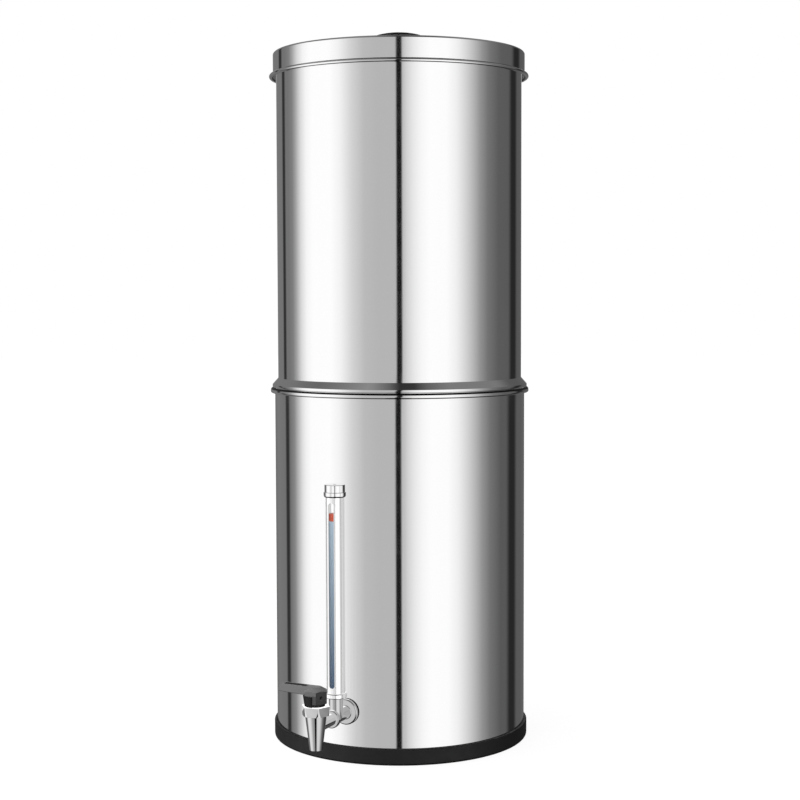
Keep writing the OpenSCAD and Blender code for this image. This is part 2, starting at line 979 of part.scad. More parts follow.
module filter_cap(side) {
    color("#e4e4e0")
        translate([side * filter_x, 0, filter_cap_z])
            difference() {
                rotate_extrude()
                    puck_outline(filter_base_d / 2, filter_cap_h, 0.5, 1.5);
                translate([0, 0, -eps])
                    cylinder(d = filter_d + 2 * fit, h = filter_cap_h - filter_wall_t + eps);
            }
}

module filter_washer(side) {
    color("#dcdcd8")
        translate([side * filter_x, 0, filter_washer_z])
            tube(stem_r + washer_over, stem_r + fit, filter_washer_t);
}

module wing_nut(side) {
    color("#f0f0ee")
        translate([side * filter_x, 0, upper_floor_z - wing_h])
            difference() {
                union() {
                    cylinder(d = wing_hub_d, h = wing_h);
                    translate([0, 0, wing_h - wing_plate_h])
                        cylinder(d = wing_plate_d, h = wing_plate_h);
                    rotate([90, 0, 0])
                        linear_extrude(wing_t, center = true)
                            wing_outline();
                }
                translate([0, 0, -eps])
                    cylinder(r = stem_r + fit, h = wing_h + 2 * eps);
            }
}

// The two wings of a nut, seen from the side: each hangs down and ends in a round tip
module wing_outline() {
    tip_r = 4.5;
    for (side = [-1, 1])
        scale([side, 1]) {
            translate([wing_span / 2 - tip_r, tip_r - 2])
                circle(r = tip_r);
            polygon([
                [0, wing_h], [wing_plate_d / 2, wing_h],
                [wing_span / 2 - tip_r / 2, tip_r + 1.8], [wing_span / 2 - tip_r, -1.8], [0, 4]
            ]);
        }
}

// ---------------------------------------------------------------- lid

// The lid's outline in half section: rounded at the top edge, with a panel that rises inwards
module lid_outline(r, h, corner, panel_curve) {
    square([r, h - corner]);
    square([r - corner, h]);
    translate([r - corner, h - corner])
        circle(r = corner);
    intersection() {
        square([r - corner, h + lid_crown]);
        translate([0, h + lid_crown - panel_curve])
            circle(r = panel_curve, $fn = wall_fn);
    }
}

module lid_shell() {
    skirt_z = lid_foot_z + lid_roll_h / 2;
    color("silver")
        difference() {
            rotate_extrude() {
                difference() {
                    translate([0, skirt_z])
                        lid_outline(chamber_r, lid_skirt_h, lid_edge_r, crown_r);
                    translate([0, skirt_z - eps])
                        lid_outline(
                            inside_r, lid_skirt_h - sheet_t + eps, lid_edge_r - sheet_t,
                            crown_r - sheet_t
                        );
                }
                translate([inside_r + lid_roll_w / 2, skirt_z])
                    mirror([0, 1])
                        flat_roll_section(lid_roll_w, lid_roll_h);
            }
            translate([0, 0, lid_top_z - 2])
                cylinder(d = knob_screw_d + 0.4, h = lid_crown + 4);
        }
}

// The knob: a waisted foot under a wide domed cap
module lid_knob() {
    waist_r = knob_foot_d / 2;
    cap_r = knob_d / 2;
    dome_r = (cap_r ^ 2 + knob_dome ^ 2) / (2 * knob_dome);
    color("#1a1a1a")
        translate([0, 0, knob_z])
            difference() {
                rotate_extrude() {
                    difference() {
                        square([cap_r - knob_under_r, knob_waist_h + eps]);
                        translate([waist_r + knob_waist_h, 0])
                            circle(r = knob_waist_h);
                        translate([waist_r + knob_waist_h, -eps])
                            square([cap_r, knob_waist_h + 3 * eps]);
                    }
                    intersection() {
                        translate([0, knob_waist_h])
                            puck_outline(cap_r, knob_h - knob_waist_h, knob_under_r, knob_over_r);
                        translate([0, knob_h - dome_r])
                            circle(r = dome_r, $fn = 400);
                    }
                }
                translate([0, 0, -eps])
                    cylinder(d = knob_screw_d + 2 * fit, h = knob_screw_reach + 0.5);
            }
}

module knob_washer() {
    color("#dcdcd8")
        translate([0, 0, panel_under_z - knob_washer_t])
            tube(knob_washer_r, knob_screw_d / 2 + fit, knob_washer_t);
}

module knob_screw() {
    head_z = panel_under_z - knob_washer_t - knob_head_h;
    color("silver")
        translate([0, 0, head_z])
            difference() {
                union() {
                    rotate_extrude()
                        puck_outline(knob_head_d / 2, knob_head_h, 1.2, 0.2);
                    cylinder(d = knob_screw_d, h = knob_z + knob_screw_reach - head_z);
                }
                for (turn = [0, 90])
                    rotate([0, 0, turn])
                        translate([-2.4, -0.5, -eps])
                            cube([4.8, 1, 1.4]);
            }
}

// ---------------------------------------------------------------- all pieces

base_ring();
lower_chamber();
tap_outer_washer();
tap_inner_washer();
tap_nut();
gauge_tee();
tap_coupling_ring();
tap_body();
inlet_seat();
outlet_seat();
bonnet();
bonnet_seal();
spindle_seal();
gauge_socket();
gauge_sleeve();
gauge_glass();
gauge_lower_seal();
gauge_upper_seal();
gauge_cap();
gauge_float();
tap_lever();
lever_screw();
spindle();
valve_ball();
upper_chamber();
filter_block(-1);  // filter_block_left
filter_block(1);  // filter_block_right
filter_base(-1);  // filter_base_left
filter_base(1);  // filter_base_right
filter_cap(-1);  // filter_cap_left
filter_cap(1);  // filter_cap_right
filter_washer(-1);  // filter_washer_left
filter_washer(1);  // filter_washer_right
wing_nut(-1);  // wing_nut_left
wing_nut(1);  // wing_nut_right
lid_shell();
lid_knob();
knob_washer();
knob_screw();
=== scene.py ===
"""Looks of a gravity water filter: polished chambers, a lid, and a chrome tap with a sight gauge."""

import logging
import math
from collections.abc import Callable
from dataclasses import dataclass, field
from enum import Enum, IntEnum

import bmesh
import bpy
from mathutils import Matrix, Vector


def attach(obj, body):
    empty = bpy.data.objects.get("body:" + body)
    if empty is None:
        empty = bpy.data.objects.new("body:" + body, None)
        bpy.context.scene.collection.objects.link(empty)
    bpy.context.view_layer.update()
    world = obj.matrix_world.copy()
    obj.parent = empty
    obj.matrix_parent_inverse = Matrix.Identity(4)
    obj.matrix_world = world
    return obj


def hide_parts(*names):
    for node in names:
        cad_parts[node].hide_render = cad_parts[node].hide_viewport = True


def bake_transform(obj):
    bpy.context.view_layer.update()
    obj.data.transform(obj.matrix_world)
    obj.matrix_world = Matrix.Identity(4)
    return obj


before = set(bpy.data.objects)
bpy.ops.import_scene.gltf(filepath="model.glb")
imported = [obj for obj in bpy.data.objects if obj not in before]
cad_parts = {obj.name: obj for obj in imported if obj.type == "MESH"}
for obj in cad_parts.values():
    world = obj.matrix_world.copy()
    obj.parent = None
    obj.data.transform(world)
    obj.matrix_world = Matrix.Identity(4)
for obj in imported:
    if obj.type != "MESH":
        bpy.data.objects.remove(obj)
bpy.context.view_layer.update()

Solid = bmesh.types.BMesh
Node = bpy.types.Node
Socket = bpy.types.NodeSocket
Tree = bpy.types.NodeTree
Point = tuple[float, float]
Stops = tuple[Point, ...]

MM = 0.001
WELD = 0.0005
SHARP = 0.01  # the rounding of an edge that is left sharp, in millimetres
PLAY = 0.05  # the clearance between pieces that touch, in millimetres
LEAD = 0.5  # how far a thread starts from its rod's end, in millimetres
log = logging.getLogger("water_filter")


class Body(Enum):
    """The moving bodies that a piece can ride on."""

    LOWER = "lower_vessel"
    FLOAT = "float"
    HANDLE = "handle"
    UPPER = "upper_vessel"
    LID = "lid"


class Merge(Enum):
    """How two solids are combined."""

    CUT = "DIFFERENCE"
    JOIN = "UNION"


class Faces(IntEnum):
    """How many faces a turn has, by the size of the piece."""

    SMALL = 48
    MIDDLE = 64
    USUAL = 96
    LARGE = 128
    MILLED = 192
    VESSEL = 256


# ------------------------------------------------------------------ colours and nodes


MAP_RANGE = "ShaderNodeMapRange"
MATHS = "ShaderNodeMath"
MIX = "ShaderNodeMix"
MIX_SHARE, MIX_FIRST, MIX_SECOND = 0, 6, 7
COLOURS = {"data_type": "RGBA"}
SMOOTH = {"interpolation_type": "SMOOTHSTEP"}


def linear(hex_colour: str) -> tuple[float, float, float, float]:
    """Turns an sRGB hex colour to linear light.

    Args:
        hex_colour: Six hex digits, such as "c8402c".

    Returns:
        Linear red, green and blue, with an alpha of 1.
    """
    parts = [int(hex_colour[i : i + 2], 16) / 255 for i in (0, 2, 4)]
    red, green, blue = (p / 12.92 if p <= 0.04045 else ((p + 0.055) / 1.055) ** 2.4 for p in parts)
    return red, green, blue, 1.0


def grey(level: float) -> tuple[float, float, float, float]:
    """A linear grey as a colour."""
    return level, level, level, 1.0


def add_node(
    tree: Tree,
    kind: str,
    settings: dict[str, object] | None = None,
    inputs: dict[str | int, object] | tuple[object, ...] = (),
    output: str = "",
) -> Socket | None:
    """Adds a node with its settings, and with its inputs set or linked.

    Args:
        tree: The node tree that gets the node.
        kind: The node's type name.
        settings: Attribute names and their values.
        inputs: Values, or outputs to link, by the input's name or number or in the inputs' order.
        output: The output that is wanted. Left out, it is the first one that is in use.

    Returns:
        The output, or None where the node has none.
    """
    node = tree.nodes.new(kind)
    for name, value in (settings or {}).items():
        setattr(node, name, value)
    wanted = inputs if isinstance(inputs, dict) else dict(enumerate(inputs))
    for key, value in wanted.items():
        if isinstance(value, Socket):
            tree.links.new(value, node.inputs[key])
        else:
            node.inputs[key].default_value = value
    if output:
        return node.outputs[output]
    return next((socket for socket in node.outputs if socket.enabled), None)


# ------------------------------------------------------------------ finishes


@dataclass(frozen=True)
class Finish:
    """A surface finish: its colour and shine, and the record's slot that it belongs to."""

    name: str
    slot: str
    colour: str
    roughness: float
    metallic: float = 0.0
    ior: float = 1.5
    alpha: float = 1.0

    def material(self) -> bpy.types.Material:
        """Makes the material, or finds it if it has been made before.

        Returns:
            The material.
        """
        found = bpy.data.materials.get(self.name)
        if found:
            return found
        made = bpy.data.materials.new(self.name)
        made.use_nodes = True
        shader = made.node_tree.nodes["Principled BSDF"]
        shader.inputs["Base Color"].default_value = linear(self.colour)
        shader.inputs["Metallic"].default_value = self.metallic
        shader.inputs["Roughness"].default_value = self.roughness
        shader.inputs["Alpha"].default_value = self.alpha
        if not self.metallic:
            shader.inputs["IOR"].default_value = self.ior
        self.dress(shader)
        return made

    def dress(self, shader: Node) -> None:
        """Adds the finish's patterns to a shader. A plain finish has none."""

    def spots(
        self, shader: Node, size_mm: float, stretch: tuple[float, float, float] = (1, 1, 1)
    ) -> Socket:
        """Adds noise with features of a real size.

        Args:
            shader: The material's shader.
            size_mm: The features' size.
            stretch: How much finer the noise is along each axis.

        Returns:
            The noise's grey output.
        """
        tree = shader.id_data
        place = add_node(tree, "ShaderNodeTexCoord", output="Object")
        mapped = add_node(tree, "ShaderNodeMapping", {}, {"Vector": place, "Scale": stretch})
        inputs = {"Vector": mapped, "Scale": 1 / (size_mm * MM), "Detail": 3.0}
        return add_node(tree, "ShaderNodeTexNoise", {}, inputs, "Fac")

    def relief(self, shader: Node, height: Socket, depth_mm: float) -> None:
        """Adds bump of a real depth.

        Args:
            shader: The material's shader.
            height: The grey output that gives the height.
            depth_mm: The depth from black to white.
        """
        inputs = {"Height": height, "Distance": depth_mm * MM, "Strength": 1.0}
        bump = add_node(shader.id_data, "ShaderNodeBump", {}, inputs)
        shader.id_data.links.new(bump, shader.inputs["Normal"])

    def shine(self, shader: Node, pattern: Socket, low: float, high: float) -> None:
        """Lets the roughness follow a pattern.

        Args:
            shader: The material's shader.
            pattern: The grey output that gives the pattern.
            low: The least roughness.
            high: The greatest roughness.
        """
        middle_greys = (0.35, 0.65)
        spread = add_node(shader.id_data, MAP_RANGE, {}, (pattern, *middle_greys, low, high))
        shader.id_data.links.new(spread, shader.inputs["Roughness"])

    def tint(self, shader: Node, share: Socket, first: str, second: str) -> None:
        """Lets the colour go from one to another.

        Args:
            shader: The material's shader.
            share: The grey output that gives the second colour's share.
            first: The first hex colour.
            second: The second hex colour.
        """
        inputs = {MIX_SHARE: share, MIX_FIRST: linear(first), MIX_SECOND: linear(second)}
        mixed = add_node(shader.id_data, MIX, COLOURS, inputs)
        shader.id_data.links.new(mixed, shader.inputs["Base Color"])


@dataclass(frozen=True)
class PolishedSheet(Finish):
    """Stainless steel sheet, buffed round the vessel to a mirror: sharp bands with a faint haze."""

    haze_mm: float = 45.0
    haze_stretch: tuple[float, float, float] = (0.4, 0.4, 3.0)
    haze: float = 0.02

    def dress(self, shader: Node) -> None:
        """Adds the buffing haze, which is long round the vessel and short along its height."""
        pattern = self.spots(shader, self.haze_mm, self.haze_stretch)
        self.shine(shader, pattern, self.roughness, self.roughness + self.haze)


@dataclass(frozen=True)
class ChromePlate(Finish):
    """Chrome plate on brass: a near mirror with a trace of orange peel from the casting under it."""

    peel_mm: float = 2.2
    peel_depth_mm: float = 0.0015

    def dress(self, shader: Node) -> None:
        """Adds the orange peel."""
        self.relief(shader, self.spots(shader, self.peel_mm), self.peel_depth_mm)


@dataclass(frozen=True)
class Moulded(Finish):
    """Moulded plastic or rubber: a fine spark-eroded grain that breaks up the shine."""

    grain_mm: float = 0.5
    grain_depth_mm: float = 0.012
    patch_mm: float = 9.0
    patch: float = 0.08

    def dress(self, shader: Node) -> None:
        """Adds the grain and slow changes of shine.

        Args:
            shader: The material's shader.
        """
        self.relief(shader, self.spots(shader, self.grain_mm), self.grain_depth_mm)
        low = self.roughness - self.patch / 2
        self.shine(shader, self.spots(shader, self.patch_mm), low, low + self.patch)


@dataclass(frozen=True)
class Turned(Finish):
    """Turned steel: fine tool marks."""

    mark_mm: float = 0.35
    mark_depth_mm: float = 0.004

    def dress(self, shader: Node) -> None:
        """Adds the tool marks."""
        self.relief(shader, self.spots(shader, self.mark_mm, (1, 1, 4)), self.mark_depth_mm)


@dataclass(frozen=True)
class PaintedLightWater(Finish):
    """Water in a tube, with painted light: paler near its surface, where more light comes in, and darker
    below.
    """

    deep: str = "28547e"
    deep_mm: float = 62.0
    pale_mm: float = 200.0

    def dress(self, shader: Node) -> None:
        """Adds the painted light: the change of colour along the height.

        Args:
            shader: The material's shader.
        """
        place = add_node(shader.id_data, "ShaderNodeTexCoord", output="Object")
        height = add_node(shader.id_data, "ShaderNodeSeparateXYZ", {}, (place,), "Z")
        inputs = (height, self.deep_mm * MM, self.pale_mm * MM)
        self.tint(shader, add_node(shader.id_data, MAP_RANGE, {}, inputs), self.deep, self.colour)


@dataclass(frozen=True)
class PressedCarbon(Finish):
    """Pressed carbon: a matt block with grains that show at its surface."""

    grain_mm: float = 0.9
    grain_depth_mm: float = 0.12
    light_grain: str = "3a3a3a"

    def dress(self, shader: Node) -> None:
        """Adds the grains, in colour and in relief.

        Args:
            shader: The material's shader.
        """
        grains = self.spots(shader, self.grain_mm)
        self.tint(shader, grains, self.colour, self.light_grain)
        self.relief(shader, grains, self.grain_depth_mm)


# Mirror polish gives the walls their sharp bands; in the creases and inside the lid's skirt the steel is
# dull, and its dark colour there is painted shade.
POLISHED_STEEL = PolishedSheet("polished_stainless_sheet", "vessel_steel", "f0f0f0", 0.045, 1.0)
CREASE_SHADE_STEEL = PolishedSheet("dull_steel_with_painted_shade", "vessel_steel", "181818", 0.4, 1.0)
# The tap shines brightest on its machined pieces and a tone darker on its castings, and the drawn tube
# of the gauge has a satin sheen.
CHROME = ChromePlate("chrome_plated_brass", "tap_chrome", "f2f2f2", 0.03, 1.0)
CAST_CHROME = ChromePlate("chrome_plated_casting", "tap_chrome", "cecece", 0.05, 1.0)
SLEEVE_STEEL = ChromePlate("satin_steel_tube", "tap_chrome", "f4f4f4", 0.22, 1.0, peel_depth_mm=0.0005)
# Tool marks break up the glints of the turned pieces; black oxide leaves them almost none.
BLACK_OXIDE = Turned("black_oxide_steel", "fastener_steel", "1a1a1a", 0.45, 1.0)
TURNED_STEEL = Turned("turned_stainless_steel", "fastener_steel", "c8c8c6", 0.28, 1.0)
# Rubber is black with a wide, weak sheen.
BASE_RUBBER = Moulded("moulded_epdm_rubber", "black_rubber", "161616", 0.6)
BLACK_RUBBER = Moulded("nitrile_rubber", "black_rubber", "161616", 0.45, ior=1.52)
# Glass fibres make the lever's nylon grey in the light. Its block is a darker copy of the same nylon,
# painted shade for where it lies in the bonnet's shade, and the bonnet has no fibres and is black.
LEVER_NYLON = Moulded("glass_filled_nylon", "black_plastic", "7a7a7a", 0.5)
SHADE_PAINTED_NYLON = Moulded("nylon_with_painted_shade", "black_plastic", "505050", 0.5)
BONNET_NYLON = Moulded("black_nylon", "black_plastic", "080808", 0.5)
# The knob's phenolic is a smooth, deep black.
KNOB_PHENOLIC = Moulded("black_phenolic", "black_plastic", "0a0a0a", 0.4, grain_depth_mm=0.003, patch=0.05)
# The empty tube hardly shows but for its glints, and the water in it gives the window its blue.
CLEAR_TUBE = Finish("clear_acrylic_tube", "clear_tube", "f4f8fa", 0.06, ior=1.49, alpha=0.05)
WATER = PaintedLightWater("water", "clear_tube", "cfe6f8", 0.1, ior=1.333)
# Smooth mouldings: a glossy red, a milky grey, a waxy white and a plain white.
FLOAT_RED = Moulded(
    "red_polypropylene", "float_red", "fa5a28", 0.3, ior=1.49, grain_depth_mm=0.002, patch=0.05
)
SILICONE = Moulded("pale_silicone", "pale_silicone", "d8d8d2", 0.4, ior=1.41, grain_depth_mm=0.004)
PTFE = Moulded("white_ptfe", "valve_seat_white", "ececea", 0.35, ior=1.35, grain_depth_mm=0.003)
WHITE_PLASTIC = Moulded(
    "white_polypropylene", "filter_white", "e6e6e2", 0.4, ior=1.49, grain_depth_mm=0.006
)
# The block is matt black with paler grains.
CARBON = PressedCarbon("pressed_carbon_block", "filter_block", "1a1a1a", 0.85)


# ------------------------------------------------------------------ solids


@dataclass
class Outline:
    """A half section that a lathe turns: points of radius and height, in millimetres."""

    points: list[Point] = field(default_factory=list)
    closed: bool = True

    def to(self, *points: Point) -> "Outline":
        """Adds straight runs to the given points, and returns the outline."""
        self.points.extend(points)
        return self

    def arc(self, centre: Point, radius: float, start: float, end: float, steps: int = 6) -> "Outline":
        """Adds a round run.

        Args:
            centre: The arc's centre.
            radius: Its radius.
            start: The angle where it starts, in degrees.
            end: The angle where it ends, in degrees.
            steps: How many straight pieces it has.

        Returns:
            The outline itself.
        """
        for i in range(steps + 1):
            angle = math.radians(start + (end - start) * i / steps)
            self.to((centre[0] + radius * math.cos(angle), centre[1] + radius * math.sin(angle)))
        return self


    def corner(self, at: Point, radius: float, start: float, steps: int = 5) -> "Outline":
        """Adds a rounded corner, a quarter turn.

        Args:
            at: Where the corner would be if it were sharp.
            radius: Its radius.
            start: The angle where it starts: -90, 0, 90 or 180 degrees.
            steps: How many straight pieces it has.

        Returns:
            The outline itself.
        """
        middle = math.radians(start + 45)
        x = at[0] - math.copysign(radius, math.cos(middle))
        z = at[1] - math.copysign(radius, math.sin(middle))
        return self.arc((x, z), radius, start, start + 90, steps)


def puck(
    radius: float, height: float, foot: float, top: float, bore: float = 0.0, steps: int = 5
) -> Outline:
    """The half section of a round piece with rounded outer edges.

    Args:
        radius: The piece's radius.
        height: Its height.
        foot: The radius of its lower edge.
        top: The radius of its upper edge.
        bore: The radius of its bore, or 0 for a solid piece.
        steps: How many straight pieces each rounded edge has.

    Returns:
        The outline, which stands on height 0.
    """
    outline = Outline(closed=bore > 0).to((bore, 0))
    outline.corner((radius, 0), foot, -90, steps).corner((radius, height), top, 0, steps)
    return outline.to((bore, height))


def weld(bm: Solid) -> Solid:
    """Merges a solid's doubles and points its faces outwards.

    Args:
        bm: The solid.

    Returns:
        The same solid.
    """
    bmesh.ops.remove_doubles(bm, verts=bm.verts, dist=WELD)
    bmesh.ops.dissolve_degenerate(bm, edges=bm.edges, dist=WELD)
    bmesh.ops.recalc_face_normals(bm, faces=bm.faces)
    return bm


def close_holes(bm: Solid) -> None:
    """Puts faces on a solid's open ends."""
    bmesh.ops.holes_fill(bm, edges=[e for e in bm.edges if e.is_boundary])


def turn(outline: Outline, steps: int = Faces.USUAL, start: float = 0.0, sweep: float = 360.0) -> Solid:
    """Turns a half section round the Z axis.

    Args:
        outline: The half section.
        steps: How many faces the turn has.
        start: The angle where it starts, in degrees from +X.
        sweep: How far it goes, in degrees. Less than a full turn is closed at both ends.

    Returns:
        The turned solid.
    """
    bm = bmesh.new()
    verts = [bm.verts.new((r, 0, z)) for r, z in outline.points]
    edges = [bm.edges.new(pair) for pair in zip(verts, verts[1:])]
    if outline.closed:
        edges.append(bm.edges.new((verts[-1], verts[0])))
    bmesh.ops.rotate(bm, verts=verts, matrix=Matrix.Rotation(math.radians(start), 3, "Z"))
    full = sweep >= 360
    angle = math.radians(sweep)
    bmesh.ops.spin(bm, geom=verts + edges, axis=(0, 0, 1), angle=angle, steps=steps, use_merge=full)
    if not full:
        bmesh.ops.remove_doubles(bm, verts=bm.verts, dist=WELD)
        close_holes(bm)
    return weld(bm)


def rod(radius: float, height: float, faces: Faces) -> Solid:
    """A plain rod that stands on height 0, with a number of faces round it."""
    return turn(puck(radius, height, SHARP, SHARP, steps=1), faces)


def prism(points: list[Point], height: float) -> Solid:
    """Extrudes an outline in the XY plane along +Z.

    Args:
        points: The outline's corners, in order.
        height: The prism's height.

    Returns:
        The prism, standing on height 0.
    """
    bm = bmesh.new()
    face = bm.faces.new([bm.verts.new((x, y, 0)) for x, y in points])
    made = bmesh.ops.extrude_face_region(bm, geom=[face], use_keep_orig=True)["geom"]
    tops = [v for v in made if isinstance(v, bmesh.types.BMVert)]
    bmesh.ops.translate(bm, verts=tops, vec=(0, 0, height))
    return weld(bm)


def slot_outline(width: float, length: float) -> list[Point]:
    """The outline of a slot with round ends, which stands on the origin along +Y.

    Args:
        width: The slot's width.
        length: Its whole length.

    Returns:
        The outline's corners.
    """
    radius = width / 2
    outline = Outline().arc((0, length - radius), radius, 0, 180, 24)
    return outline.arc((0, radius), radius, 180, 360, 24).points


def box(low: tuple[float, float, float], high: tuple[float, float, float]) -> Solid:
    """Makes a box.

    Args:
        low: Its low corner.
        high: Its high corner.

    Returns:
        The box.
    """
    bm = bmesh.new()
    bmesh.ops.create_cube(bm, size=1)
    bmesh.ops.scale(bm, verts=bm.verts, vec=Vector(high) - Vector(low))
    bmesh.ops.translate(bm, verts=bm.verts, vec=(Vector(high) + Vector(low)) / 2)
    return bm


def raised(z: float) -> Matrix:
    """The matrix that lifts a solid by a height."""
    return Matrix.Translation((0, 0, z))


def about_z(degrees: float) -> Matrix:
    """The matrix that turns a solid round the Z axis."""
    return Matrix.Rotation(math.radians(degrees), 4, "Z")


def lying() -> Matrix:
    """The matrix that lays what stands on +Z down along -Y."""
    return Matrix.Rotation(math.pi / 2, 4, "X")


def moved(bm: Solid, matrix: Matrix) -> Solid:
    """Moves a solid by a matrix in millimetres, and returns it."""
    bmesh.ops.transform(bm, matrix=matrix, verts=bm.verts)
    return bm


def slice_off(bm: Solid, point: Vector, outward: Vector) -> None:
    """Cuts off what lies beyond a plane and closes the cut.

    Args:
        bm: The solid.
        point: A point of the plane.
        outward: The plane's direction. What lies on this side goes.
    """
    geometry = bm.verts[:] + bm.edges[:] + bm.faces[:]
    bmesh.ops.bisect_plane(
        bm, geom=geometry, dist=WELD, plane_co=point, plane_no=outward, clear_outer=True
    )
    close_holes(bm)


def mill_hexagon(bm: Solid, across: float, turned_by: float) -> None:
    """Mills six flats on a turned blank.

    Args:
        bm: The blank, round the Z axis.
        across: The width across the flats.
        turned_by: The first flat's angle from -Y, in degrees.
    """
    for i in range(6):
        angle = math.radians(turned_by - 90 + 60 * i)
        outward = Vector((math.cos(angle), math.sin(angle), 0))
        slice_off(bm, outward * across / 2, outward)
    bmesh.ops.recalc_face_normals(bm, faces=bm.faces)


def soften(bm: Solid, radius: float, from_angle: float, segments: int = 3) -> None:
    """Rounds every edge that is sharper than an angle.

    Args:
        bm: The solid.
        radius: The rounding's width.
        from_angle: The least angle between two faces, in degrees.
        segments: How many faces the rounding has.
    """
    least = math.radians(from_angle)
    edges = [e for e in bm.edges if len(e.link_faces) == 2 and e.calc_face_angle() > least]
    bmesh.ops.bevel(
        bm,
        geom=edges,
        offset=radius,
        offset_type="OFFSET",
        segments=segments,
        profile=0.5,
        affect="EDGES",
        clamp_overlap=True,
        material=-1,
    )


def combine(target: Solid, tool: Solid, how: Merge) -> Solid:
    """Cuts one solid from another, or joins them.

    Args:
        target: The solid that is kept. It is freed.
        tool: The other solid. It is freed.
        how: Whether to cut or to join.

    Returns:
        The new solid.
    """
    objects = []
    for bm in (target, tool):
        mesh = bpy.data.meshes.new("work")
        bm.to_mesh(mesh)
        bm.free()
        objects.append(bpy.data.objects.new("work", mesh))
        bpy.context.scene.collection.objects.link(objects[-1])
    modifier = objects[0].modifiers.new("merge", "BOOLEAN")
    modifier.operation = how.value
    modifier.solver = "EXACT"
    modifier.object = objects[1]
    graph = bpy.context.evaluated_depsgraph_get()
    result = bmesh.new()
    result.from_mesh(objects[0].evaluated_get(graph).to_mesh())
    for item in objects:
        mesh = item.data
        bpy.data.objects.remove(item)
        bpy.data.meshes.remove(mesh)
    bmesh.ops.remove_doubles(result, verts=result.verts, dist=WELD)
    return result


def thread(radius: float, pitch: float, length: float, depth: float) -> Solid:
    """A thread's ridge, which winds up round the Z axis from height 0.

    Args:
        radius: The thread's outer radius.
        pitch: The rise of one turn.
        length: The length that is threaded.
        depth: The ridge's height.

    Returns:
        The ridge as a closed solid.
    """
    flank = 0.45 * pitch
    sunk = 0.1
    faces_a_turn = 32
    root = radius - depth
    section = ((root - sunk, -flank), (root, -flank), (radius, 0.0), (root, flank), (root - sunk, flank))
    bm = bmesh.new()
    verts = [bm.verts.new((r, 0, z + flank)) for r, z in section]
    edges = [bm.edges.new(pair) for pair in zip(verts, verts[1:] + verts[:1])]
    turns = (length - 2 * flank) / pitch
    steps = int(turns * faces_a_turn)
    rise = (0, 0, (length - 2 * flank) / steps)
    angle = math.tau * turns
    bmesh.ops.spin(bm, geom=verts + edges, axis=(0, 0, 1), dvec=rise, angle=angle, steps=steps)
    bmesh.ops.remove_doubles(bm, verts=bm.verts, dist=WELD)
    close_holes(bm)
    bmesh.ops.recalc_face_normals(bm, faces=bm.faces)
    return bm


def added(bm: Solid, *others: Solid) -> Solid:
    """Adds other solids to one as separate closed shells.

    Args:
        bm: The solid that gets the others.
        others: The other solids. They are freed.

    Returns:
        The first solid.
    """
    for other in others:
        mesh = bpy.data.meshes.new("work")
        other.to_mesh(mesh)
        other.free()
        bm.from_mesh(mesh)
        bpy.data.meshes.remove(mesh)
    return bm


def make_piece(
    name: str,
    bm: Solid,
    finish: Finish,
    body: Body,
    *stands_for: str,
    smooth_below: float = 32.0,
    mirrored: bool = False,
) -> bpy.types.Object:
    """Makes a solid a piece of the model, dressed and riding on its body.

    Args:
        name: The piece's name.
        bm: The solid in millimetres. It is freed.
        finish: Its finish.
        body: The body that it rides on.
        stands_for: The CAD nodes that it is shown in place of.
        smooth_below: Edges flatter than this angle, in degrees, are shaded smooth.
        mirrored: Whether polished pieces mirror it.

    Returns:
        The new object.
    """
    moved(bm, Matrix.Scale(MM, 4))
    mesh = bpy.data.meshes.new(name)
    bm.to_mesh(mesh)
    bm.free()
    mesh.shade_smooth()
    mesh.set_sharp_from_angle(angle=math.radians(smooth_below))
    mesh.materials.append(finish.material())
    piece = bpy.data.objects.new(name, mesh)
    bpy.context.scene.collection.objects.link(piece)
    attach(piece, body.value)
    piece.visible_glossy = mirrored
    even = piece.modifiers.new("even_shading", "WEIGHTED_NORMAL")
    even.weight = 100
    even.keep_sharp = True
    if stands_for:
        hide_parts(*stands_for)
    log.info("%s: %d faces on %s", name, len(mesh.polygons), body.value)
    return piece


# ------------------------------------------------------------------ chambers and lid


@dataclass
class Sheet:
    """What the pressed steel pieces share: the sheet, and the way its edges are rolled.

    Attributes:
        thickness: The sheet's thickness.
        ring: How far from an edge a ring of points keeps the wall's shading straight.
    """

    thickness: float = 0.8
    ring: float = 6.0

    def roll(
        self, outline: Outline, high: float, wide: float, corners: Point, at: float, upwards: bool
    ) -> None:
        """Adds an open roll to a half section that comes along the wall's outer face.

        Args:
            outline: The half section, which stands at the roll's inner side.
            high: The roll's height.
            wide: Its width.
            corners: The radii of its outer corners, first where the sheet comes over, then its end.
            at: The height of its middle.
            upwards: Whether the sheet goes over the top, as on a rim, or under, as on a lid.
        """
        outer = high / 2
        inner = outer - self.thickness
        sense = 1 if upwards else -1
        first, out, end = (180 - sense * turned for turned in (90, 180, 270))
        near = (outline.points[-1][0] + inner, at)
        over_r, under_r = corners
        x = near[0] - outer + wide
        over = (x - over_r, at + sense * (outer - over_r))
        under = (x - under_r, at - sense * (outer - under_r))
        middle = (near[0] + under[0]) / 2
        outline.arc(near, inner, 180, first, 6)
        outline.arc(over, over_r - self.thickness, first, out, 6)
        outline.arc(under, under_r - self.thickness, out, end, 6)
        outline.to((middle, at - sense * inner), (middle, at - sense * outer))
        outline.arc(under, under_r, end, out, 8).arc(over, over_r, out, first, 8)
        outline.arc(near, outer, first, 180, 8)

    def paint_shade(self, piece: bpy.types.Object, in_painted_shade: Callable[[bpy.types.MeshPolygon], bool]) -> None:
        """Gives faces in creases and hollows dull steel whose dark colour is painted shade.

        Args:
            piece: The piece, which has its own finish already.
            in_painted_shade: Tells whether a face gets the painted shade.
        """
        piece.data.materials.append(CREASE_SHADE_STEEL.material())
        for face in piece.data.polygons:
            if in_painted_shade(face):
                face.material_index = 1


